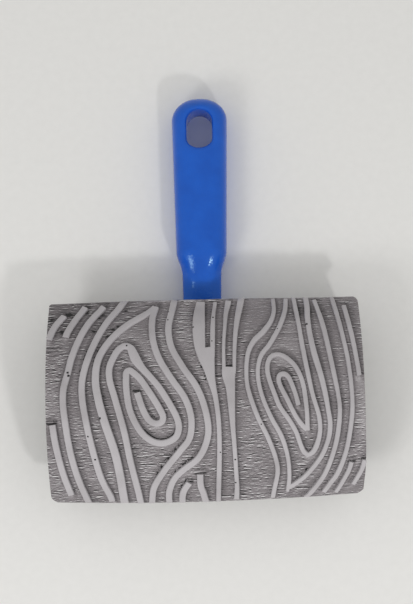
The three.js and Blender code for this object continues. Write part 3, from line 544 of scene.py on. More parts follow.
def floor_relief(x, s, gap):
    """Lift in millimetres, tone with painted light and shade, boldness of the scoring and how strong the
    bites at the ridges' feet are
    """
    beside = np.maximum(gap, 0)
    on_face = 1 - past(np.abs(s), arc_run + 4, 3)
    # three regions that differ from the rest: the upper left corner, and both ends of the pad
    corner = past(s, 28, 8) * short_of(x, -25, 15) + 0.5 * past(s, 31.4, 0.8) * short_of(x, -61, 2)
    right_edge = past(x, 68.8, 0.8) * short_of(s, 9.5, 1) * past(s, -30, 12)
    left_edge = short_of(x, -64, 3) * short_of(s, 29, 2) * past(s, -5, 12)
    blotch = spots(x, s, BLOTCHES, BLOTCH_FLATNESS)
    # the edge towards the handle has a raised lip, and both edges rise to the ridges' height
    lip = past(x, -28, 2) * short_of(x, 18, 2) * stroke(s, LIP_S, LIP_HALF)
    rim = RIM_RISE * past(np.abs(s), RIM_S, RIM_RAMP)
    # large dents, a slight hollow at the ridges' feet and the blotches
    lift = 0.05 * cloud(x, s, 3.6, 0.8, 13) + 0.03 * cloud(x, s, 1.1, 0.6, 16)
    lift -= 0.05 * stroke(beside, 0, 1.15) + BLOTCH_DEPTH * blotch
    # the tone drifts from place to place, on top of what the lists name
    # the lip's lighter tone here is a painted highlight, where the raised lip catches the lamps
    shade = 0.08 * cloud(x, s, 9, 7, 18) - 0.2 * corner + 0.2 * right_edge - 1.1 * blotch + 0.5 * lip
    # some of the marks are painted shadow lines above ridge ends and slot ends
    shade += marks(x, s) + sum(depth * spots(x, s, [place]) for *place, depth in PATCHES)
    # painted shadow along the feet of the ridges that SHADED_FEET names
    shade -= 1.3 * np.minimum(spots(x, s, SHADED_FEET), 1) * stroke(beside, 0, 0.5)
    shade -= 0.11 * short_of(s, -16, 8) + 0.07 * stroke(x, 10, 9) * past(s, -22, 6)
    # the scoring is bolder at the left edge and in the lower third, and faint beside a ridge
    bold = 0.85 + 0.4 * cloud(x, s, 9, 8, 15) + 0.35 * left_edge - 0.5 * right_edge * past(s, 0, 2)
    bold += 0.2 * corner + 0.2 * short_of(s, -18, 8) - 0.2 * past(x, 15, 10) * past(s, 5, 10)
    bold *= 0.45 + 0.55 * past(beside, 0.4, 1.3)
    bite = np.minimum(LEAST_BITE + spots(x, s, BITTEN), 1)
    rise = lift * on_face + LIP_RISE * lip * (1 - rim) + rim
    return rise, shade * on_face, np.clip(bold, 0.1, 2) * on_face, bite * on_face


print(f"{len(STROKES_AND_SHADOW_LINES)} marks, {len(BLOTCHES)} blotches and {len(PATCHES)} patches on the floor")

# %% [markdown]
# The web is a real fine mesh, one ring of points for each step round the section, lifted by the
# larger dents and closed underneath and at both ends. The score lines are finer than any mesh, so
# its points only carry what the material needs to draw them: how far round the face they lie, how
# far from the nearest ridge and on which side of it, and how dark and how boldly scored their
# part of the floor is.

# %% The web of the pad
FACE_ROWS, FOLD_ROWS, HEM_ROWS = 350, 34, 5
COLUMNS = 229
NEXT_TO_EDGE = 0.9975
LOWER_RIGHT_LEAN = 0.8
EDGE_DROP, EDGE_ROUNDING = 0.3, 0.4
rim_run = arc_run + fold_run + HEM_WIDTH
face_rows = np.linspace(-arc_run, arc_run, FACE_ROWS)
fold_rows = np.linspace(arc_run, arc_run + fold_run, FOLD_ROWS)[1:]
hem_rows = np.linspace(arc_run + fold_run, rim_run, HEM_ROWS)[1:]
side_rows = np.concatenate([fold_rows, hem_rows])
rows = np.concatenate([-side_rows[::-1], face_rows, side_rows])
shares = np.concatenate([[-1, -NEXT_TO_EDGE], np.linspace(-1, 1, COLUMNS)[1:-1], [NEXT_TO_EDGE, 1]])


def half_width(s, left):
    """How far each row of the web reaches from the middle: full on the face, less on the hem"""
    centre = wrap(np.zeros_like(s), s, np.full_like(s, FLOOR))
    radius = np.where(left & (s > 0), SHARP_CORNER_RADIUS, CORNER_RADIUS)
    into = np.maximum(np.abs(centre[:, 1]) - (PAD_CHORD / 2 - radius), 0)
    lean = np.where(left, 0, LOWER_RIGHT_LEAN * short_of(s, -34, 18))
    rounded = PAD_WIDTH / 2 - lean - radius + np.sqrt(np.maximum(radius ** 2 - into ** 2, 0))
    tuck = past(np.abs(s), arc_run + fold_run * 0.55, fold_run * 0.45)
    return rounded + (PAD_WIDTH / 2 - HEM_END_INSET - rounded) * tuck


def tube_faces(around, rings, start=0):
    """The faces of a closed tube whose rings of points follow one another from a start"""
    last = start + around * (rings - 1)
    faces = [[start + i for i in range(around)], [last + around - 1 - i for i in range(around)]]
    for low in range(start, last, around):
        faces += [[low + i, low + around + i, low + around + (i + 1) % around, low + (i + 1) % around]
                  for i in range(around)]
    return faces


def closed_tube(name, rings):
    """A closed mesh through rings of points, with a flat face at each end"""
    mesh = mesh_of(name, np.reshape(rings, (-1, 3)), tube_faces(len(rings[0]), len(rings)))
    turn_outwards(mesh)
    return mesh


left_reach, right_reach = half_width(rows, True), half_width(rows, False)
grid_x = shares * np.where(shares < 0, left_reach[:, None], right_reach[:, None])
grid_s = np.repeat(rows[:, None], len(shares), axis=1)
flat_x = np.repeat(shares[None, :] * PAD_WIDTH / 2, len(rows), axis=0)
gap = gap_to_ridges(flat_x, grid_s)
lift, shade, bold, bite = floor_relief(grid_x, grid_s, gap)
edge_drop = EDGE_DROP * past(np.abs(flat_x), PAD_WIDTH / 2 - EDGE_ROUNDING, EDGE_ROUNDING)
outer = wrap(grid_x, grid_s, FLOOR + lift - edge_drop)
inner_x = np.stack([-left_reach, right_reach], axis=1)
inner_s = np.repeat(rows[:, None], 2, axis=1)
inner = wrap(inner_x, inner_s, np.full_like(inner_s, FLOOR - WEB_THICKNESS))
rings = np.concatenate([outer, inner[:, ::-1]], axis=1)
web_mesh = closed_tube("pad_web", rings)
rightward = np.gradient(gap, axis=1) / np.gradient(flat_x, axis=1)
upward = np.gradient(gap, axis=0) / np.gradient(grid_s, axis=0)
for key, values in (("run", grid_s), ("gap", gap), ("rightward", rightward), ("upward", upward),
                    ("shade", shade), ("bold", bold), ("bite", bite)):
    carry(web_mesh, key, np.pad(values, ((0, 0), (0, 2))).ravel())
print(f"floor relief from {lift.min():.2f} to {lift.max():.2f} mm in {len(rings)} rings of points")

# %% [markdown]
# Moulded natural rubber, filled grey. Rubber is a soft dielectric with an IOR near 1.52 and a
# dull, slightly waxy surface. The ridge tops came out of a smooth mould and stay even, while the
# scored floor scatters light and has bites along the ridges. The filler's grit is too fine to show,
# so it is drawn 0.4 mm across. The score lines are drawn in three layers. In each, the distance
# round the face, swayed by a soft noise, is cut into pairs of lines 0.45 mm wide, with plain floor
# between the pairs. A second noise, stretched along the lines and different for every pair, makes
# one of them a burr and the other a furrow, as a bump and as colour: the burr is painted lighter and
# the furrow darker, as painted light and shade. The foot of each ridge has painted shade too: a
# shadow behind its upper side and beside it, painted light before its lower side, and dark bites
# that are drawn only on its shaded upper and left sides.

# %% Scored grey rubber
SCORES = [(0.9, 2.7, 25), (1.5, 3.8, 42), (2.3, 5.6, 52)]  # spacing, stretch along X and weight
SCORE_WIDTH = 0.45
SCORE_SOFTNESS = 0.04
SWAY, SWAY_SIZE = 1.5, 7.143
LAYERS_APART, PAIRS_APART, CUTS_APART = 31.7, 7.31, 5.3  # they keep the noises unlike each other
# painted shadow behind and beside each ridge, and painted light before its lower side, each as (distance,
# darkness)
SHADOW_BEHIND = [(0.0, 0.1), (0.6, 0.22), (1.5, 0.3), (2.2, 0.2), (3.4, 0.0)]  # distance and darkness
SHADOW_BESIDE = [(0.0, 0.4), (0.6, 0.36), (1.2, 0.24), (1.9, 0.16), (3.8, 0.0)]
LIGHT_BEFORE = [(0.0, 0.3), (0.6, 0.26), (1.2, 0.14), (1.9, 0.06), (3.0, 0.0)]
REACH = 4.0
JAG_SIZE = 1.1
GRIT_SIZE, TONE_SIZE = 0.4, 18
RUBBER_IOR = 1.52
BURR_HEIGHT = 0.12


def blend(tree, share, a, b, **settings):
    """One colour mixed with another"""
    return add(tree, "ShaderNodeMix", {"Factor": share, "A": a, "B": b}, data_type="RGBA",
               **settings).outputs["Result"]


def skin(tree, tint, height, depth, strength, look):
    """The surface of a material: its colour, its relief in millimetres and its look"""
    bump = add(tree, "ShaderNodeBump", {"Height": height, "Distance": depth * MM, "Strength": strength})
    shader = add(tree, "ShaderNodeBsdfPrincipled",
                 {"Base Color": tint, "Normal": bump.outputs["Normal"], **look})
    add(tree, "ShaderNodeOutputMaterial", {"Surface": shader.outputs[0]})


def scored(tree, x, run):
    """Layers of score lines across the floor, as one value about zero; it raises and lightens one line of a
    pair and lowers and darkens the other, as painted light and shade
    """
    total = 0.0
    for number, (spacing, stretch, weight) in enumerate(SCORES):
        share = SCORE_WIDTH / spacing
        flat = add(tree, "ShaderNodeCombineXYZ", {"X": x, "Y": run, "Z": LAYERS_APART * number})
        sway = noise(tree, flat.outputs[0], SWAY_SIZE, 1.5)
        place = maths(tree, "DIVIDE", maths(tree, "MULTIPLY_ADD", sway, SWAY, run), spacing)
        pair, within = maths(tree, "FLOOR", place), maths(tree, "FRACT", place)
        turned, ended = [ranged(tree, within, edge - SCORE_SOFTNESS, edge + SCORE_SOFTNESS, 1.0, beyond)
                         for edge, beyond in ((share, -1.0), (2 * share, 0.0))]
        turned = maths(tree, "MULTIPLY", turned, ended)
        spot = add(tree, "ShaderNodeCombineXYZ", {"X": maths(tree, "DIVIDE", x, stretch),
                   "Y": maths(tree, "MULTIPLY", pair, PAIRS_APART), "Z": CUTS_APART * number})
        cut = maths(tree, "SUBTRACT", noise(tree, spot.outputs[0], 1.0, 4.0, Roughness=0.55), 0.5)
        cut = maths(tree, "MULTIPLY", cut, maths(tree, "ABSOLUTE", cut))
        cut = maths(tree, "MULTIPLY", cut, turned)
        total = maths(tree, "MULTIPLY_ADD", cut, weight, total)
    return total


def by_distance(tree, gap, stops):
    """A value that follows chosen (distance, value) stops away from a ridge"""
    ramp = add(tree, "ShaderNodeValToRGB", {"Fac": maths(tree, "DIVIDE", gap, REACH, use_clamp=True)})
    elements = ramp.color_ramp.elements
    elements[0].color = (stops[0][1],) * 3 + (1.0,)
    elements[1].color = (stops[-1][1],) * 3 + (1.0,)
    elements[1].position = stops[-1][0] / REACH
    for distance, value in stops[1:-1]:
        elements.new(distance / REACH).color = (value,) * 3 + (1.0,)
    return ramp.outputs["Color"]


def foot_shade_and_bites(tree, x, run, gap, rightward, upward, bite):
    """Painted shade at the foot of each ridge, painted light before its lower side, and dark bites on its
    shaded upper and left sides
    """
    behind, before, left, right = [
        maths(tree, "MULTIPLY", slope, gain, use_clamp=True)
        for slope, gain in ((upward, 1.25), (upward, -1.0), (rightward, -1.0), (rightward, 1.0))]
    beside = maths(tree, "MULTIPLY_ADD", left, 0.12, right)
    foot = maths(tree, "MULTIPLY", behind, by_distance(tree, gap, SHADOW_BEHIND))
    foot = maths(tree, "MULTIPLY_ADD", beside, by_distance(tree, gap, SHADOW_BESIDE), foot)
    lit = maths(tree, "MULTIPLY", before, by_distance(tree, gap, LIGHT_BEFORE))
    foot = maths(tree, "SUBTRACT", foot, lit)
    flat = add(tree, "ShaderNodeCombineXYZ", {"X": x, "Y": run})
    jag = ranged(tree, noise(tree, flat.outputs[0], JAG_SIZE, 2.0), 0.52, 0.56, 0.0, 2.6)
    jag = maths(tree, "MULTIPLY", jag, bite)
    where = maths(tree, "MULTIPLY", behind, ranged(tree, gap, 1.5, 0.6))
    where = maths(tree, "MULTIPLY_ADD", left, ranged(tree, gap, 0.9, 0.3, 0.0, 0.8), where)
    return maths(tree, "MULTIPLY_ADD", jag, where, foot)


def rubber(name, dark, middle, light, roughness, grit_depth, floor=False):
    """Filled rubber in three tones, dark to light; a floor is also scored, with painted light and shade on
    its score lines and at the ridges' feet, and bites
    """
    material, tree = new_material(name)
    place = add(tree, "ShaderNodeTexCoord").outputs["Object"]
    level = ranged(tree, noise(tree, place, GRIT_SIZE * MM, 3.0), 0.3, 0.7, -grit_depth, grit_depth)
    shade = add(tree, "ShaderNodeAttribute", attribute_name="shade").outputs["Fac"]
    if floor:
        run, gap, rightward, upward, bold, bite = [
            add(tree, "ShaderNodeAttribute", attribute_name=key).outputs["Fac"]
            for key in ("run", "gap", "rightward", "upward", "bold", "bite")]
        in_mm = add(tree, "ShaderNodeVectorMath", {0: place, "Scale": 1 / MM}, operation="SCALE")
        x = add(tree, "ShaderNodeSeparateXYZ", {0: in_mm.outputs[0]}).outputs["X"]
        level = maths(tree, "MULTIPLY_ADD", scored(tree, x, run), bold, level)
        level = maths(tree, "SUBTRACT", level, foot_shade_and_bites(tree, x, run, gap, rightward, upward, bite))
    level = maths(tree, "ADD", level, shade)
    ramp = add(tree, "ShaderNodeValToRGB", {"Fac": ranged(tree, level, -1.0, 1.0)})
    ramp.color_ramp.elements[0].color = colour(dark)
    ramp.color_ramp.elements[1].color = colour(light)
    ramp.color_ramp.elements.new(0.5).color = colour(middle)
    warm = ranged(tree, noise(tree, place, TONE_SIZE * MM, 2.0), 0.45, 0.75, 0.0, 0.25)
    tint = blend(tree, warm, ramp.outputs["Color"], colour("#8A8280"), blend_type="MULTIPLY")
    skin(tree, tint, level, BURR_HEIGHT, 0.7, {"Roughness": roughness, "IOR": RUBBER_IOR})
    return material


scored_rubber = rubber("scored_grey_rubber", "#121011", "#868083", "#DAD7D9", 0.62, 0.17, floor=True)
smooth_rubber = rubber("smooth_grey_rubber", "#1E1C1D", "#B5B1B4", "#C9C5C9", 0.55, 0.06)
piece("pad_web", web_mesh, scored_rubber, "pad_rubber", "graining_pad", smooth=180)

# %% [markdown]
# The ridges follow paths, so Geometry Nodes sweeps them. The tree takes the flat lines, spaces
# their points evenly, sweeps one closed section along each and then sets every point by its own
# numbers: `reach` is its share of the half width, `edge` a distance added outside it, and `rise`
# its height. So the section keeps its height and its crisp rounded shoulders however wide the
# line is, and the ends stay cut square. A fine noise lets the sides wobble, as a hand cutter does.

# %% Sweep the ridges
SECTION = [(-1, 0.08, -2.0), (-1, 0.04, -1.15), (-1, -0.04, -0.34), (-1, -0.17, -0.1), (-1, -0.4, 0),
           (0, 0, 0), (1, -0.4, 0), (1, -0.17, -0.1), (1, -0.04, -0.34), (1, 0.04, -1.15), (1, 0.08, -2.0)]
WOBBLE_SIZE = 1.2


def lines_object(name, lines):
    """Poly lines as one curve object; a point's radius carries its half width"""
    data = bpy.data.curves.new(name, "CURVE")
    data.dimensions = "3D"
    for line in lines:
        spline = data.splines.new("POLY")
        spline.points.add(len(line) - 1)
        spline.points.foreach_set("co", np.column_stack([line[:, 0] * MM, line[:, 1] * MM,
                                  np.zeros(len(line)), np.ones(len(line))]).ravel())
        spline.points.foreach_set("radius", line[:, 2] * MM / 2)
    return loose(name, data)


def section_object(name, points):
    """A closed section whose points carry their reach, edge and rise"""
    mesh = bpy.data.meshes.new(name)
    ring = [(reach * MM, rise * MM, 0) for reach, edge, rise in points]
    mesh.from_pydata(ring, [(i, (i + 1) % len(ring)) for i in range(len(ring))], [])
    for k, (key, scale) in enumerate((("reach", 1.0), ("edge", MM), ("rise", MM))):
        carry(mesh, key, [p[k] * scale for p in points])
    return loose(name, mesh)


def new_tree(name, *inputs):
    """A node group for geometry with named inputs"""
    tree = bpy.data.node_groups.new(name, "GeometryNodeTree")
    tree.interface.new_socket("Geometry", in_out="OUTPUT", socket_type="NodeSocketGeometry")
    tree.interface.new_socket("Geometry", in_out="INPUT", socket_type="NodeSocketGeometry")
    for label, kind in inputs:
        tree.interface.new_socket(label, in_out="INPUT", socket_type=f"NodeSocket{kind}")
    return tree, add(tree, "NodeGroupInput"), add(tree, "NodeGroupOutput")


def baked(thing):
    """The plain mesh that an object's modifiers make"""
    graph = bpy.context.evaluated_depsgraph_get()
    return bpy.data.meshes.new_from_object(thing.evaluated_get(graph))


def grow(thing, tree, **values):
    """The plain mesh that a tree makes on an object, with its inputs set by identifier"""
    modifier = thing.modifiers.new(tree.name, "NODES")
    modifier.node_group = tree
    for item in tree.interface.items_tree:
        key = item.name.lower().replace(" ", "_")
        if item.item_type == "SOCKET" and item.in_out == "INPUT" and key in values:
            modifier[item.identifier] = values[key]
    bpy.context.view_layer.update()
    made = baked(thing)
    thing.modifiers.remove(modifier)
    return made


def discard(*things):
    """Takes helper objects out of the scene"""
    for thing in things:
        bpy.data.objects.remove(thing)


sweep, given, result = new_tree("swept_ridges", ("Section", "Object"), ("Step", "Float"),
                                ("Jitter", "Float"))
spaced = add(sweep, "GeometryNodeResampleCurve", {"Curve": given.outputs["Geometry"],
             "Length": given.outputs["Step"]}, mode="LENGTH")
heading = add(sweep, "GeometryNodeInputTangent")
sideways = add(sweep, "ShaderNodeVectorMath", {0: (0, 0, 1), 1: heading.outputs[0]},
               operation="CROSS_PRODUCT")
kept = add(sweep, "GeometryNodeCaptureAttribute", {"Geometry": spaced.outputs[0]})
for kind, label in (("VECTOR", "centre"), ("VECTOR", "sideways"), ("FLOAT", "half")):
    kept.capture_items.new(kind, label)
sweep.links.new(add(sweep, "GeometryNodeInputPosition").outputs[0], kept.inputs["centre"])
sweep.links.new(sideways.outputs[0], kept.inputs["sideways"])
sweep.links.new(add(sweep, "GeometryNodeInputRadius").outputs[0], kept.inputs["half"])
plain = add(sweep, "GeometryNodeSetCurveRadius", {"Curve": kept.outputs["Geometry"], "Radius": 1.0})
section = add(sweep, "GeometryNodeObjectInfo", {"Object": given.outputs["Section"]})
ring = add(sweep, "GeometryNodeMeshToCurve", {"Mesh": section.outputs["Geometry"]})
tube = add(sweep, "GeometryNodeCurveToMesh", {"Curve": plain.outputs[0], "Profile Curve": ring.outputs[0],
           "Fill Caps": True})
named = {key: add(sweep, "GeometryNodeInputNamedAttribute", {"Name": key}, data_type="FLOAT").outputs[0]
         for key in ("reach", "edge", "rise")}
wobble = add(sweep, "ShaderNodeTexNoise", {"Scale": 1 / (WOBBLE_SIZE * MM), "Detail": 2.0})
wobble = maths(sweep, "SUBTRACT", wobble.outputs["Fac"], 0.5)
wobble = maths(sweep, "MULTIPLY", wobble, given.outputs["Jitter"])
half = maths(sweep, "ADD", kept.outputs["half"], wobble)
across = maths(sweep, "MULTIPLY", named["edge"], named["reach"])
across = maths(sweep, "MULTIPLY_ADD", half, named["reach"], across)
shift = add(sweep, "ShaderNodeVectorMath", {0: kept.outputs["sideways"], "Scale": across}, operation="SCALE")
raised = add(sweep, "ShaderNodeCombineXYZ", {"Z": named["rise"]})
spot = add(sweep, "ShaderNodeVectorMath", {0: kept.outputs["centre"], 1: shift.outputs[0]}, operation="ADD")
spot = add(sweep, "ShaderNodeVectorMath", {0: spot.outputs[0], 1: raised.outputs[0]}, operation="ADD")
moved = add(sweep, "GeometryNodeSetPosition", {"Geometry": tube.outputs[0], "Position": spot.outputs[0]})
sweep.links.new(moved.outputs[0], result.inputs["Geometry"])
print(f"the sweeping tree has {len(sweep.nodes)} nodes")

# %% [markdown]
# Ridges that meet, such as the two arms and the stem of a fork, are swept apart and then joined
# by a boolean, so that no face is left inside. Their tops dip by a few hundredths of a millimetre
# here and there, which breaks up the light on them as on real rubber.

# %% Join the ridges
JOINED = [("fork_1_stem", "fork_1_left", "fork_1_right"), ("fork_2_stem", "fork_2_left", "fork_2_right"),
          ("heart_left", "heart_right"), ("bend_3", "bend_2"), ("knot_2_outer", "knot_2_inner")]
SWEEP_STEP = 0.42
SIDE_WOBBLE = 0.24
TOP_DIP = 0.03
solvers = [item.identifier for item in bpy.types.BooleanModifier.bl_rna.properties["solver"].enum_items]
BOOLEAN_SOLVER = "MANIFOLD" if "MANIFOLD" in solvers else "EXACT"
print("solvers:", solvers)


def points_of(mesh):
    """A mesh's points in millimetres"""
    co = np.empty(len(mesh.vertices) * 3)
    mesh.vertices.foreach_get("co", co)
    return co.reshape(-1, 3) / MM


def move_points(mesh, points):
    """Gives a mesh's points new places in millimetres"""
    mesh.vertices.foreach_set("co", (points * MM).ravel())
    mesh.update()


def work_on(base, meshes, operation):
    """Joins an object with each mesh in turn, or cuts it by each"""
    for mesh in meshes:
        tool = loose("tool", mesh)
        modifier = base.modifiers.new("combine", "BOOLEAN")
        modifier.operation = operation
        modifier.solver = BOOLEAN_SOLVER
        modifier.object = tool
        made = baked(base)
        base.modifiers.remove(modifier)
        base.data = made
        discard(tool)


def swept(lines):
    """Ridges swept flat and wrapped onto the pad"""
    flat, section = lines_object("flat_lines", lines), section_object("ridge_section", SECTION)
    mesh = grow(flat, sweep, section=section, step=SWEEP_STEP * MM, jitter=SIDE_WOBBLE * MM)
    discard(flat, section)
    x, s, rise = points_of(mesh).T
    dip = TOP_DIP * cloud(x, s, 4, 4, 21) * (rise > -0.1)
    move_points(mesh, wrap(np.clip(x, -PAD_WIDTH / 2, PAD_WIDTH / 2), s, rise + dip - TOP_DIP))
    turn_outwards(mesh)
    return mesh


singles = [line for name, line in grain.items() if not any(name in group for group in JOINED)]
parts = [swept(singles)]
for group in JOINED:
    base = loose("joining", swept([grain[group[0]]]))
    work_on(base, [swept([grain[name]]) for name in group[1:]], "UNION")
    parts.append(base.data)
    discard(base)
    print(group[0], "joined:", len(parts[-1].polygons), "faces")

all_ridges = bmesh.new()
for mesh in parts:
    all_ridges.from_mesh(mesh)
ridge_mesh = bpy.data.meshes.new("uncut_ridges")
all_ridges.to_mesh(ridge_mesh)
all_ridges.free()

# %% [markdown]
# The ridge tops have small bites, where a bubble or some grit sat in the mould. Each is cut by an
# irregular plug with seven sides, and its walls are darkened with painted shade.

# %% Cut the small bites
PITS = [(-36.6, 26.4, 0.5), (-55.3, -17, 0.45), (-52.5, -28.5, 0.5), (-64.3, 13.5, 0.6), (-64.0, 12.0, 0.7),
        (-49.5, -8.5, 0.6), (-18.3, 31, 0.4), (-4.9, 35.8, 0.45), (-17.0, 40.5, 0.4), (4.7, 41.3, 0.5),
        (49.3, 35.8, 0.55), (13.4, -30.3, 0.45), (13.3, -43, 0.45), (6.5, -26.4, 0.35), (26, -13.3, 0.35),
        (35.2, 33.5, 0.35), (40.8, 14, 0.3), (33.0, -47.2, 0.4), (-56.2, 51.8, 0.5), (-45.6, -43.5, 0.4),
        (3.9, 27.6, 0.35), (-16.6, 45.8, 0.35)]
PIT_SIDES = 7
chance = np.random.default_rng(5)
turns = np.arange(PIT_SIDES) * 2 * math.pi / PIT_SIDES
pit_points, pit_faces = [], []
for x, s, radius in PITS:
    pit_faces += tube_faces(PIT_SIDES, 2, len(pit_points))
    reach = radius * chance.uniform(0.75, 1.2, PIT_SIDES)
    for depth, share in ((0.4, 1.15), (-0.6, 0.85)):
        ring_x, ring_s = x + reach * share * np.cos(turns), s + reach * share * np.sin(turns)
        pit_points += wrap(ring_x, ring_s, np.full(PIT_SIDES, depth)).tolist()
pit_mesh = mesh_of("pits", pit_points, pit_faces)
turn_outwards(pit_mesh)
base = loose("uncut_ridges", ridge_mesh)
work_on(base, [pit_mesh], "DIFFERENCE")
cut_mesh = base.data
discard(base)
cut_mesh.name = "grain_ridges"
for key in ("reach", "edge", "rise"):
    cut_mesh.attributes.remove(cut_mesh.attributes[key])
x, y, z = points_of(cut_mesh).T
sunk = FACE_RADIUS - np.hypot(y, z - axis_z)
run = FACE_RADIUS * np.arctan2(y, z - axis_z)
# painted shade on the walls of each pit
pit_shade = np.zeros(len(x))
for pit_x, pit_s, radius in PITS:
    pit_shade -= (np.hypot(x - pit_x, run - pit_s) < radius * 1.3) * past(sunk, 0.1, 0.3)
carry(cut_mesh, "shade", pit_shade)
piece("grain_ridges", cut_mesh, smooth_rubber, "pad_rubber", "graining_pad", smooth=40)

# %% [markdown]
# The handle is one blue moulding. Its form is easier to state than to draw: a rounded section
# that swells out of a flat tongue and closes over the end, less a hanging slot. So it is written
# as one function that is below zero inside the plastic, and rounded minimum and maximum give the
# fillet at the neck and the soft rim of the slot.

# %% The handle's form
NECK_SHOWING = 14.0
NECK_WIDTH = 18.5
NECK_THICKNESS = 16.4
NECK_RAMP = 19.0
GRIP_LENGTH = 90.2
GRIP_THICKNESS = 20.0
GRIP_WIDTH_AT_NECK = 25.3
GRIP_WIDTH_AT_END = 28.3
SHOULDER_LENGTH = 12.5
END_ROUNDING = 11.9
SLOT_WIDTH = 12.7
SLOT_LENGTH = 19.5
SLOT_INSET = 7.2
SLOT_FOOT_RISE = 5.1
HANDLE_SCREW_Y = 16.0
HANDLE_HEAD = 7.4
HANDLE_HEAD_HEIGHT = 2.6
HANDLE_HEAD_SINK = 0.4
HANDLE_LEAN = 0.0087
LEAN_PIVOT_Y = 116.0
NECK_STARTS_INSIDE, NECK_BLEND = 8.0, 6.0
GRIP_STARTS_INSIDE = 5.0
NECK_RAMP_END = 3.5
HALF_SIZE = 10.0
WIDEST_SHARE = 0.45
TOP_POWER, UNDER_POWER = 2.7, 2.4
TONGUE_ROUNDING = 1.5
NECK_FILLET = 2.0
BASE_ROUNDING = 1.6
SLOT_RIM = 2.6
neck_end_y = PAD_CHORD / 2 + NECK_SHOWING
shoulder_end_y = neck_end_y + SHOULDER_LENGTH
tip_y = neck_end_y + GRIP_LENGTH
slot_top_y = tip_y - SLOT_INSET
slot_foot_y = slot_top_y - SLOT_LENGTH


def soft_max(a, b, size):
    """The larger of two distances, with a fillet of about a size where they meet"""
    near = np.maximum(size - np.abs(a - b), 0) / size
    return np.maximum(a, b) + near * near * size / 4


def soft_min(a, b, size):
    """The smaller of two distances, with the same fillet"""
    return -soft_max(-a, -b, size)


def rounded_block(x, y, z, low, high, radius):
    """Distance to a block with rounded edges"""
    parts = [np.abs(v - (p + q) / 2) - (q - p) / 2 + radius for v, p, q in zip((x, y, z), low, high)]
    outside = np.sqrt(sum(np.maximum(part, 0) ** 2 for part in parts))
    return outside + np.minimum(np.maximum.reduce(parts), 0) - radius


def slot_outline(x, y):
    """Distance to the hanging slot seen from above: a round top and an elliptical foot"""
    half = SLOT_WIDTH / 2
    top, foot = slot_top_y - half, slot_foot_y + SLOT_FOOT_RISE
    beyond = np.where(y > top, y - top, np.where(y < foot, (foot - y) * half / SLOT_FOOT_RISE, 0))
    return np.hypot(x, beyond) - half


def handle_form(p):
    """Below zero inside the handle's plastic, and zero on its skin"""
    x, y, z = p.T
    leaves_pad = past(y, PAD_CHORD / 2 - NECK_STARTS_INSIDE, NECK_BLEND)
    x = x - HANDLE_LEAN * (y - LEAN_PIVOT_Y) * leaves_pad
    rise = past(y, neck_end_y, SHOULDER_LENGTH)
    along = np.clip((y - shoulder_end_y) / (tip_y - shoulder_end_y), 0, 1)
    full = GRIP_WIDTH_AT_NECK + (GRIP_WIDTH_AT_END - GRIP_WIDTH_AT_NECK) * along
    half = (NECK_WIDTH + (full - NECK_WIDTH) * rise) / 2
    ramp = past(y, neck_end_y + NECK_RAMP_END - NECK_RAMP, NECK_RAMP)
    top = TONGUE_THICKNESS + (NECK_THICKNESS - TONGUE_THICKNESS) * ramp
    top = top + (GRIP_THICKNESS - NECK_THICKNESS) * rise
    middle = WIDEST_SHARE * top
    up = np.where(z > middle, (z - middle) / (top - middle), (middle - z) / (middle + 1.0))
    power = np.where(z > middle, TOP_POWER, UNDER_POWER)
    section = (np.abs(x / half) ** power + up ** power) ** (1 / power)
    # the section is a share of the way to the skin, so a typical half size makes a distance of it
    grip = (np.hypot(section, np.maximum(y - tip_y + END_ROUNDING, 0) / END_ROUNDING) - 1) * HALF_SIZE
    grip = soft_max(grip, PAD_CHORD / 2 - GRIP_STARTS_INSIDE - y, 1.0)
    side = (TONGUE_WIDTH + (NECK_WIDTH - TONGUE_WIDTH) * leaves_pad) / 2
    tongue = rounded_block(x * TONGUE_WIDTH / 2 / side, y, z, (-TONGUE_WIDTH / 2, -TONGUE_REACH, -4),
                           (TONGUE_WIDTH / 2, neck_end_y + 6, TONGUE_THICKNESS), TONGUE_ROUNDING)
    body = soft_max(soft_min(grip, tongue, NECK_FILLET), -z, BASE_ROUNDING)
    body = soft_max(body, -slot_outline(x, y), SLOT_RIM)
    recess_top = HANDLE_HEAD_SINK + HANDLE_HEAD_HEIGHT + GAP
    for side in (-1, 1):
        across = np.hypot(x, y - side * HANDLE_SCREW_Y) - HANDLE_HEAD / 2 - GAP
        body = soft_max(body, -soft_max(across, z - recess_top, 0.3), 0.5)
    return body


middle_of_grip = np.array([[0.0, (shoulder_end_y + slot_foot_y) / 2, GRIP_THICKNESS / 2]])
print(f"handle's tip at {tip_y:.1f} mm, form inside the grip {float(handle_form(middle_of_grip)[0]):.1f}")

# %% [markdown]
# A voxel remesh of the plain solid gives an even skin, and every point is then slid along the
# function's slope until it lies on the true surface. In the first rounds each point also moves
# towards its neighbours' middle, which takes out the voxels' steps.

# %% Mould the handle
VOXEL = 0.44
EVENING = 0.6
PROBE = 0.01
LONGEST_MOVE = 0.6
handle_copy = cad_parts["handle"].data.copy()
turn_outwards(handle_copy, merge=0.001)
rough_handle = loose("rough_handle", handle_copy)
voxels = rough_handle.modifiers.new("voxels", "REMESH")
voxels.mode = "VOXEL"
voxels.voxel_size = VOXEL * MM
handle_mesh = baked(rough_handle)
discard(rough_handle)


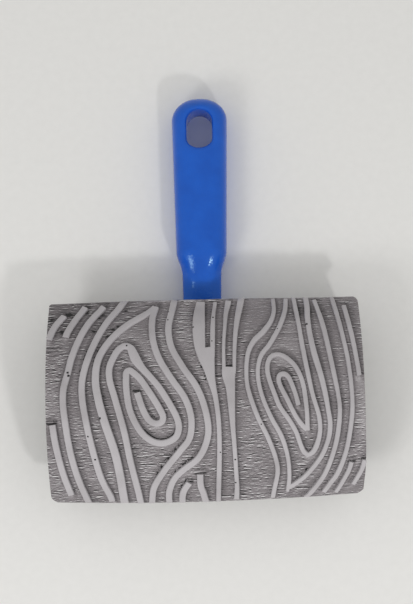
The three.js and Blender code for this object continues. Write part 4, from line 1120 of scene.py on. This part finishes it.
def settle(mesh, form, rounds, evened):
    """Slides a mesh's points onto a form, evening them out in the first rounds"""
    co = points_of(mesh)
    ends = np.empty(len(mesh.edges) * 2, int)
    mesh.edges.foreach_get("vertices", ends)
    ends = ends.reshape(-1, 2)
    count = np.bincount(ends.ravel(), minlength=len(co))[:, None]
    for step in range(rounds):
        if step < evened:
            total = np.zeros_like(co)
            for a, b in ((0, 1), (1, 0)):
                np.add.at(total, ends[:, a], co[ends[:, b]])
            co += EVENING * (total / np.maximum(count, 1) - co)
        for _ in range(2):
            value = form(co)
            slope = np.stack([(form(co + d) - value) / PROBE for d in np.eye(3) * PROBE], axis=1)
            move = -value[:, None] * slope / np.maximum((slope ** 2).sum(1, keepdims=True), 0.05)
            length = np.linalg.norm(move, axis=1, keepdims=True)
            co += move * np.minimum(1, LONGEST_MOVE / np.maximum(length, 1e-9))
    move_points(mesh, co)
    print("furthest point from the form:", round(float(np.abs(form(co)).max()), 4), "mm")


settle(handle_mesh, handle_form, 8, 5)
handle_mesh.name = "handle_moulding"

# %% [markdown]
# Polypropylene, injection moulded in a royal blue: IOR 1.49, glossy, with the slight orange peel
# of a mould polished by hand and a few fine scuffs that dull it. The peel is about a millimetre
# across and only a few thousandths of a millimetre deep, so it is drawn deeper to show, and the
# scuffs are drawn wider than they are. Its highlights lean a little to the plastic's own blue.

# %% Moulded plastic
FLOW_SIZE, SCUFF_SIZE = 9, 0.5


def moulded_plastic(name, base, shade, sheen, roughness, ior, gloss, peel_size, peel_depth, speck):
    """A plastic in two close tones whose skin copies its mould's texture"""
    material, tree = new_material(name)
    place = add(tree, "ShaderNodeTexCoord").outputs["Object"]
    flow = ranged(tree, noise(tree, place, FLOW_SIZE * MM, 3.0), 0.35, 0.7)
    scuff = ranged(tree, noise(tree, place, SCUFF_SIZE * MM, 2.0), 0.3, 0.75, roughness, roughness + speck)
    skin(tree, blend(tree, flow, colour(base), colour(shade)), noise(tree, place, peel_size * MM, 2.0),
         peel_depth, 0.5, {"Roughness": scuff, "IOR": ior, "Specular IOR Level": gloss,
                           "Specular Tint": colour(sheen)})
    return material


blue_plastic = moulded_plastic("blue_polypropylene", "#1858C4", "#1651BA", "#CBFBFF", roughness=0.1,
                               ior=1.49, gloss=0.46, peel_size=1.0, peel_depth=0.2, speck=0.12)
piece("handle_moulding", handle_mesh, blue_plastic, "handle_plastic", "handle", smooth=180)

# %% [markdown]
# The shell carries everything. On the real tool it is one black moulding: a curved wall with a
# rounded nose along each long edge, flat ledges for the hems, end cheeks, a channel for the
# handle's tongue, ribs and screw bosses. Each of these is a simple closed form, so they are joined
# and cut by booleans, and a bevel then breaks every sharp edge as a mould does.

# %% The shell
RIB_WALL = 2.4
RIB_LIFT = 1.0
CHANNEL_MARGIN = 1.2
CHEEK_FOOT_INSET = 6.5
CHEEK_FOOT_RADIUS = 5.0
CHEEK_EDGE_INSET = 1.6
STIFFENER_DEPTH = 4.0
STIFFENER_WALL = 2.0
STIFFENER_X = 40.0
STIFFENER_Y = 18.0
SEAT_RIB_Y = 25.0
HANDLE_SHANK = 4.0
HANDLE_SCREW_LENGTH = 20.0
HANDLE_BOSS = 9.4
CLAMP_INNER_X = 25.0
CLAMP_END_INSET = 6.0
CLAMP_SHANK = 3.0
CLAMP_SCREW_LENGTH = 8.5
CLAMP_HEAD = 5.6
CLAMP_HEAD_HEIGHT = 1.9
CLAMP_BOSS = 6.8
CLAMP_BOSS_HEIGHT = 5.0
BAR_END_GAP = 2.5
OVERLAP = 0.5
HOOP_SHARE = 0.8
shell_half = PAD_WIDTH / 2 - PAD_OVERHANG
cheek_x = shell_half - CHEEK_WALL
bar_half = PAD_WIDTH / 2 - HEM_END_INSET - BAR_END_GAP
clamp_xs = [-bar_half + CLAMP_END_INSET, -CLAMP_INNER_X, CLAMP_INNER_X, bar_half - CLAMP_END_INSET]
channel_x = TONGUE_WIDTH / 2 + GAP
channel_y = hem_edge_y - CHANNEL_MARGIN
seat_z = TONGUE_THICKNESS + GAP
ledge_top = ledge_z + LEDGE_THICKNESS
wall_middle = shell_inner + SHELL_WALL / 2


def arc(centre_y, centre_z, radius, start, end, steps):
    """Points (y, z) on an arc; angles run from +Z towards +Y"""
    turn = np.linspace(start, end, steps + 1)
    return [(centre_y + radius * math.sin(t), centre_z + radius * math.cos(t)) for t in turn]


def prism(outline, x0, x1):
    """An outline of (y, z) points run along X"""
    return closed_tube("prism", [[(x, y, z) for y, z in outline] for x in (x0, x1)])


def post(x, y, z0, z1, radius, sides=40):
    """A round post standing along Z"""
    turn = np.arange(sides) * 2 * math.pi / sides
    circle = [(x + radius * math.cos(t), y + radius * math.sin(t)) for t in turn]
    return closed_tube("post", [[(px, py, z) for px, py in circle] for z in (z0, z1)])


def inner_height(y):
    """How high the inside of the curved wall is over a place across it"""
    return axis_z + math.sqrt(shell_inner ** 2 - y ** 2)


def beam(y0, y1, bottom):
    """The outline of a wall that stands in the hollow and ends inside the curved wall"""
    roof = arc(0, axis_z, wall_middle, math.asin(y0 / wall_middle), math.asin(y1 / wall_middle), 24)
    return [(y0, bottom)] + roof + [(y1, bottom)]


inner_angle = math.acos((ledge_top - axis_z) / shell_inner)
half_outline = arc(0, axis_z, shell_radius, 0, half_angle, 40)
half_outline += arc(nose_y, nose_z, NOSE_RADIUS, half_angle, math.pi, 12)[1:]
half_outline += [(hem_edge_y, ledge_z), (hem_edge_y, ledge_top)]
half_outline += arc(0, axis_z, shell_inner, inner_angle, 0, 36)[:-1]
outline = half_outline + [(0, axis_z + shell_inner)] + [(-y, z) for y, z in half_outline[:0:-1]]
shell = loose("shell", prism(outline, -shell_half, shell_half))
print(f"the shell's section has {len(outline)} points")

# %% [markdown]
# The cheeks close the two ends and stand on rounded feet. Two long ribs and a stop make the
# handle's channel, three short ribs seat its tongue, and hoops and rails stiffen the wide bays on
# both sides of it. Every screw gets a boss with a hole in it.

# %% Cheeks, ribs and bosses
cheek_y = nose_y - CHEEK_EDGE_INSET
foot_y = cheek_y - CHEEK_FOOT_INSET
flank = math.atan2(ledge_z + OVERLAP, CHEEK_FOOT_INSET)
foot_reach = CHEEK_FOOT_RADIUS / math.tan((math.pi - flank) / 2)
foot = arc(foot_y - foot_reach, CHEEK_FOOT_RADIUS, CHEEK_FOOT_RADIUS, math.pi, math.pi - flank, 10)
cheek = [(-y, z) for y, z in foot] + [(-cheek_y, ledge_z + OVERLAP)]
cheek += arc(0, axis_z, wall_middle, -half_angle, half_angle, 60)
cheek += [(cheek_y, ledge_z + OVERLAP)] + foot[::-1]

forms = [prism(cheek, cheek_x, shell_half), prism(cheek, -shell_half, -cheek_x)]
long_rib = beam(-channel_y, channel_y, RIB_LIFT)
forms.append(prism(long_rib, channel_x, channel_x + RIB_WALL))
forms.append(prism(long_rib, -channel_x - RIB_WALL, -channel_x))
stop_y = -TONGUE_REACH - GAP
forms.append(prism(beam(stop_y - RIB_WALL, stop_y, RIB_LIFT), -channel_x - OVERLAP, channel_x + OVERLAP))
for y in (-SEAT_RIB_Y, 0, SEAT_RIB_Y):
    seat_rib = beam(y - STIFFENER_WALL / 2, y + STIFFENER_WALL / 2, seat_z)
    forms.append(prism(seat_rib, -channel_x - OVERLAP, channel_x + OVERLAP))
reach = HOOP_SHARE * inner_angle
hoop = arc(0, axis_z, wall_middle, -reach, reach, 40)
hoop += arc(0, axis_z, shell_inner - STIFFENER_DEPTH, reach, -reach, 40)
for side in (-1, 1):
    x = side * STIFFENER_X
    forms.append(prism(hoop, x - STIFFENER_WALL / 2, x + STIFFENER_WALL / 2))
    y = side * STIFFENER_Y
    rail = beam(y - STIFFENER_WALL / 2, y + STIFFENER_WALL / 2, inner_height(STIFFENER_Y) - STIFFENER_DEPTH)
    forms.append(prism(rail, channel_x + OVERLAP, cheek_x + OVERLAP))
    forms.append(prism(rail, -cheek_x - OVERLAP, -channel_x - OVERLAP))
holes = []
clamp_top = bar_bottom - GAP + CLAMP_SCREW_LENGTH
screw_top = HANDLE_HEAD_SINK + HANDLE_HEAD_HEIGHT + HANDLE_SCREW_LENGTH
for side in (-1, 1):
    y = side * HANDLE_SCREW_Y
    boss_top = inner_height(HANDLE_SCREW_Y + HANDLE_BOSS / 2) + OVERLAP
    forms.append(post(0, y, seat_z, boss_top, HANDLE_BOSS / 2))
    holes.append(post(0, y, seat_z - OVERLAP, screw_top + GAP, HANDLE_SHANK / 2 + GAP))
    for x in clamp_xs:
        forms.append(post(x, side * bar_y, ledge_z, ledge_z + CLAMP_BOSS_HEIGHT, CLAMP_BOSS / 2))
        holes.append(post(x, side * bar_y, ledge_z - OVERLAP, clamp_top + GAP, CLAMP_SHANK / 2 + GAP, 24))
work_on(shell, forms, "UNION")
work_on(shell, holes, "DIFFERENCE")
print("shell joined from", len(forms) + 1, "forms:", len(shell.data.polygons), "faces")

# %% [markdown]
# The shell is moulded in a black styrene plastic such as ABS, with an IOR of 1.54. Its mould was
# finely etched, which leaves an even matt skin. The real grain is finer than the one drawn here.

# %% Bevel and finish the shell
MERGE = 0.002
FLAT_ANGLE = 0.2
BEVEL_ANGLE = 40
SHELL_EDGE, BAR_EDGE = 0.3, 0.2


def bevelled(thing, width):
    """The mesh of an object with its sharp edges broken"""
    work = bmesh.new()
    work.from_mesh(thing.data)
    bmesh.ops.remove_doubles(work, verts=work.verts, dist=MERGE * MM)
    bmesh.ops.dissolve_limit(work, angle_limit=math.radians(FLAT_ANGLE), verts=work.verts, edges=work.edges)
    work.to_mesh(thing.data)
    work.free()
    modifier = thing.modifiers.new("edges", "BEVEL")
    modifier.width = width * MM
    modifier.segments = 2
    modifier.limit_method = "ANGLE"
    modifier.angle_limit = math.radians(BEVEL_ANGLE)
    modifier.miter_outer = "MITER_ARC"
    made = baked(thing)
    discard(thing)
    return made


shell_mesh = bevelled(shell, SHELL_EDGE)
shell_mesh.name = "shell_moulding"
black_plastic = moulded_plastic("black_matt_styrene", "#232427", "#2A2B2E", "#FFFFFF", roughness=0.48,
                                ior=1.54, gloss=0.5, peel_size=0.45, peel_depth=0.06, speck=0.12)
piece("shell_moulding", shell_mesh, black_plastic, "shell_plastic", "rocker_shell", smooth=30)

# %% [markdown]
# The clamp bars are flat zinc-plated steel with rounded ends and a hole for each screw. Zinc
# plate is a satin metal with a faint blotchy tint, brushed a little along its length by handling.
# The brush marks are finer on real steel than the third of a millimetre drawn here.

# %% Zinc-plated steel
BRUSH_LENGTH, BRUSH_WIDTH, BRUSH_DEPTH = 6, 0.3, 0.01
BLOOM_SIZE = 5


def zinc_plate(name):
    """Satin zinc in a cool and a warm tone, brushed along X"""
    material, tree = new_material(name)
    place = add(tree, "ShaderNodeTexCoord").outputs["Object"]
    drawn = add(tree, "ShaderNodeMapping", {"Vector": place, "Scale": (
                1 / (BRUSH_LENGTH * MM), 1 / (BRUSH_WIDTH * MM), 1 / (BRUSH_WIDTH * MM))})
    brush = noise(tree, drawn.outputs[0], 1.0, 3.0)
    tint = blend(tree, noise(tree, place, BLOOM_SIZE * MM, 3.0), colour("#A9ADB4"), colour("#BDBBB2"))
    skin(tree, tint, brush, BRUSH_DEPTH, 0.5,
         {"Metallic": 1.0, "Roughness": ranged(tree, brush, 0.0, 1.0, 0.26, 0.46)})
    return material


steel = zinc_plate("zinc_plated_steel")
print(steel.name, "has", len(steel.node_tree.nodes), "nodes")

# %% [markdown]
# Each bar is a strip with half-round ends, drilled for its four screws. A punched and plated bar
# has slightly soft edges, so all its edges are bevelled by a fifth of a millimetre.

# %% Clamp bars
for name, side in (("upper", 1), ("lower", -1)):
    outline = []
    for end in (1, -1):
        centre = end * (bar_half - BAR_WIDTH / 2)
        outline += [(centre + end * BAR_WIDTH / 2 * math.cos(t), side * bar_y + BAR_WIDTH / 2 * math.sin(t))
                    for t in np.linspace(-math.pi / 2, math.pi / 2, 21) * end]
    levels = (bar_bottom, bar_bottom + BAR_THICKNESS)
    bar = loose("bar", closed_tube("bar", [[(x, y, z) for x, y in outline] for z in levels]))
    drills = [post(x, side * bar_y, levels[0] - 1, levels[1] + 1, CLAMP_SHANK / 2 + GAP, 32)
              for x in clamp_xs]
    work_on(bar, drills, "DIFFERENCE")
    plate = bevelled(bar, BAR_EDGE)
    plate.name = f"{name}_clamp_bar_plate"
    piece(f"{name}_clamp_bar_plate", plate, steel, "fixing_steel", f"{name}_clamp_bar")

# %% [markdown]
# Ten screws in two sizes hold the tool together, and they are all alike but for size and turn, so
# each size is modelled once and Geometry Nodes puts a copy on every point. The screw is a lathe
# form whose radius follows a helix along the shank, with a cross recess cut into its pan head.
# Each copy gets its own turn from a seeded random value, as screws stop where they bite.

# %% One screw of each size
HEAD_PROFILE = [(0.04, -1.0), (0.2, -0.99), (0.34, -0.94), (0.44, -0.8), (0.49, -0.58), (0.5, -0.3),
                (0.495, -0.04), (0.47, 0.0)]  # shares of the head's width and height
AROUND = 28
RINGS_PER_TURN = 9
CORE_SHARE, THREAD_SHARE = 0.42, 0.16
POINT_LENGTH, POINT_TAPER = 1.1, 0.78
CLAMP_PITCH, HANDLE_PITCH = 1.3, 1.7
RECESS_ARM, RECESS_BLADE, RECESS_DEPTH = 0.26, 0.075, 0.62  # shares of the head's width and height
RECESS_MOUTH, RECESS_FOOT = 1.15, 0.62


def screw_object(name, head, head_height, shank, length, pitch):
    """A self-tapping screw pointing up, the underside of its head at height 0"""
    profile = [(share * head, z * head_height, 0.0) for share, z in HEAD_PROFILE]
    steps = int(length / pitch * RINGS_PER_TURN)
    for z in (length * i / steps for i in range(steps + 1)):
        taper = 1 - POINT_TAPER * past(z, length - shank * POINT_LENGTH, shank * POINT_LENGTH)
        profile.append((CORE_SHARE * shank * taper, z, THREAD_SHARE * shank * taper))
    angle = np.arange(AROUND) * 2 * math.pi / AROUND
    rings = []
    for radius, z, thread in profile:
        wave = 1 - np.abs(((z / pitch - angle / (2 * math.pi)) % 1) * 2 - 1)
        r = radius + thread * np.clip(wave * 2 - 1, 0, 1) * 0.5
        rings.append(np.stack([r * np.cos(angle), r * np.sin(angle), np.full(AROUND, z)], axis=1))
    blank = loose(name, closed_tube(name, rings))
    arm, blade, depth = RECESS_ARM * head, RECESS_BLADE * head, RECESS_DEPTH * head_height
    levels = ((-head_height - OVERLAP, RECESS_MOUTH), (-head_height + depth, RECESS_FOOT))
    for a, b in ((arm, blade), (blade, arm)):
        corners = ((-a, -b), (a, -b), (a, b), (-a, b))
        cross = closed_tube("cross", [[(x * k, y * k, z) for x, y in corners] for z, k in levels])
        work_on(blank, [cross], "DIFFERENCE")
    print(f"{name}: {len(rings)} rings, {len(blank.data.polygons)} faces")
    return blank


clamp_screw = screw_object("clamp_screw", CLAMP_HEAD, CLAMP_HEAD_HEIGHT, CLAMP_SHANK,
                           CLAMP_SCREW_LENGTH, CLAMP_PITCH)
handle_screw = screw_object("handle_screw", HANDLE_HEAD, HANDLE_HEAD_HEIGHT, HANDLE_SHANK,
                            HANDLE_SCREW_LENGTH, HANDLE_PITCH)

# %% [markdown]
# The tree below puts the given screw on every point. The points lie where the solids' screws are:
# four along each clamp bar, and two in the tongue of the handle.

# %% Put the screws in their places
driving, given, result = new_tree("driven_screws", ("Screw", "Object"), ("Seed", "Int"))
screw_source = add(driving, "GeometryNodeObjectInfo", {"Object": given.outputs["Screw"]})
turn = add(driving, "FunctionNodeRandomValue",
           {"Max": (0.0, 0.0, 2 * math.pi), "Seed": given.outputs["Seed"]}, data_type="FLOAT_VECTOR")
copies = add(driving, "GeometryNodeInstanceOnPoints", {"Points": given.outputs["Geometry"],
             "Instance": screw_source.outputs["Geometry"], "Rotation": turn.outputs[0]})
real = add(driving, "GeometryNodeRealizeInstances", {"Geometry": copies.outputs[0]})
driving.links.new(real.outputs[0], result.inputs["Geometry"])


def driven(name, places, screw, seed, nodes):
    """A copy of the screw on each place, as one piece"""
    dots = loose("screw_places", mesh_of("screw_places", places, []))
    mesh = grow(dots, driving, screw=screw, seed=seed)
    discard(dots, screw)
    mesh.name = name
    piece(name, mesh, steel, "fixing_steel", *nodes, smooth=35)


clamp_places = [(x, side * bar_y, bar_bottom - GAP) for side in (1, -1) for x in clamp_xs]
handle_places = [(0, side * HANDLE_SCREW_Y, HANDLE_HEAD_SINK + HANDLE_HEAD_HEIGHT) for side in (1, -1)]
driven("clamp_screws", clamp_places, clamp_screw, 3,
       [f"{name}_clamp_screw_{i}" for name in ("upper", "lower") for i in (1, 2, 3, 4)])
driven("handle_screws", handle_places, handle_screw, 8, ["upper_handle_screw", "lower_handle_screw"])
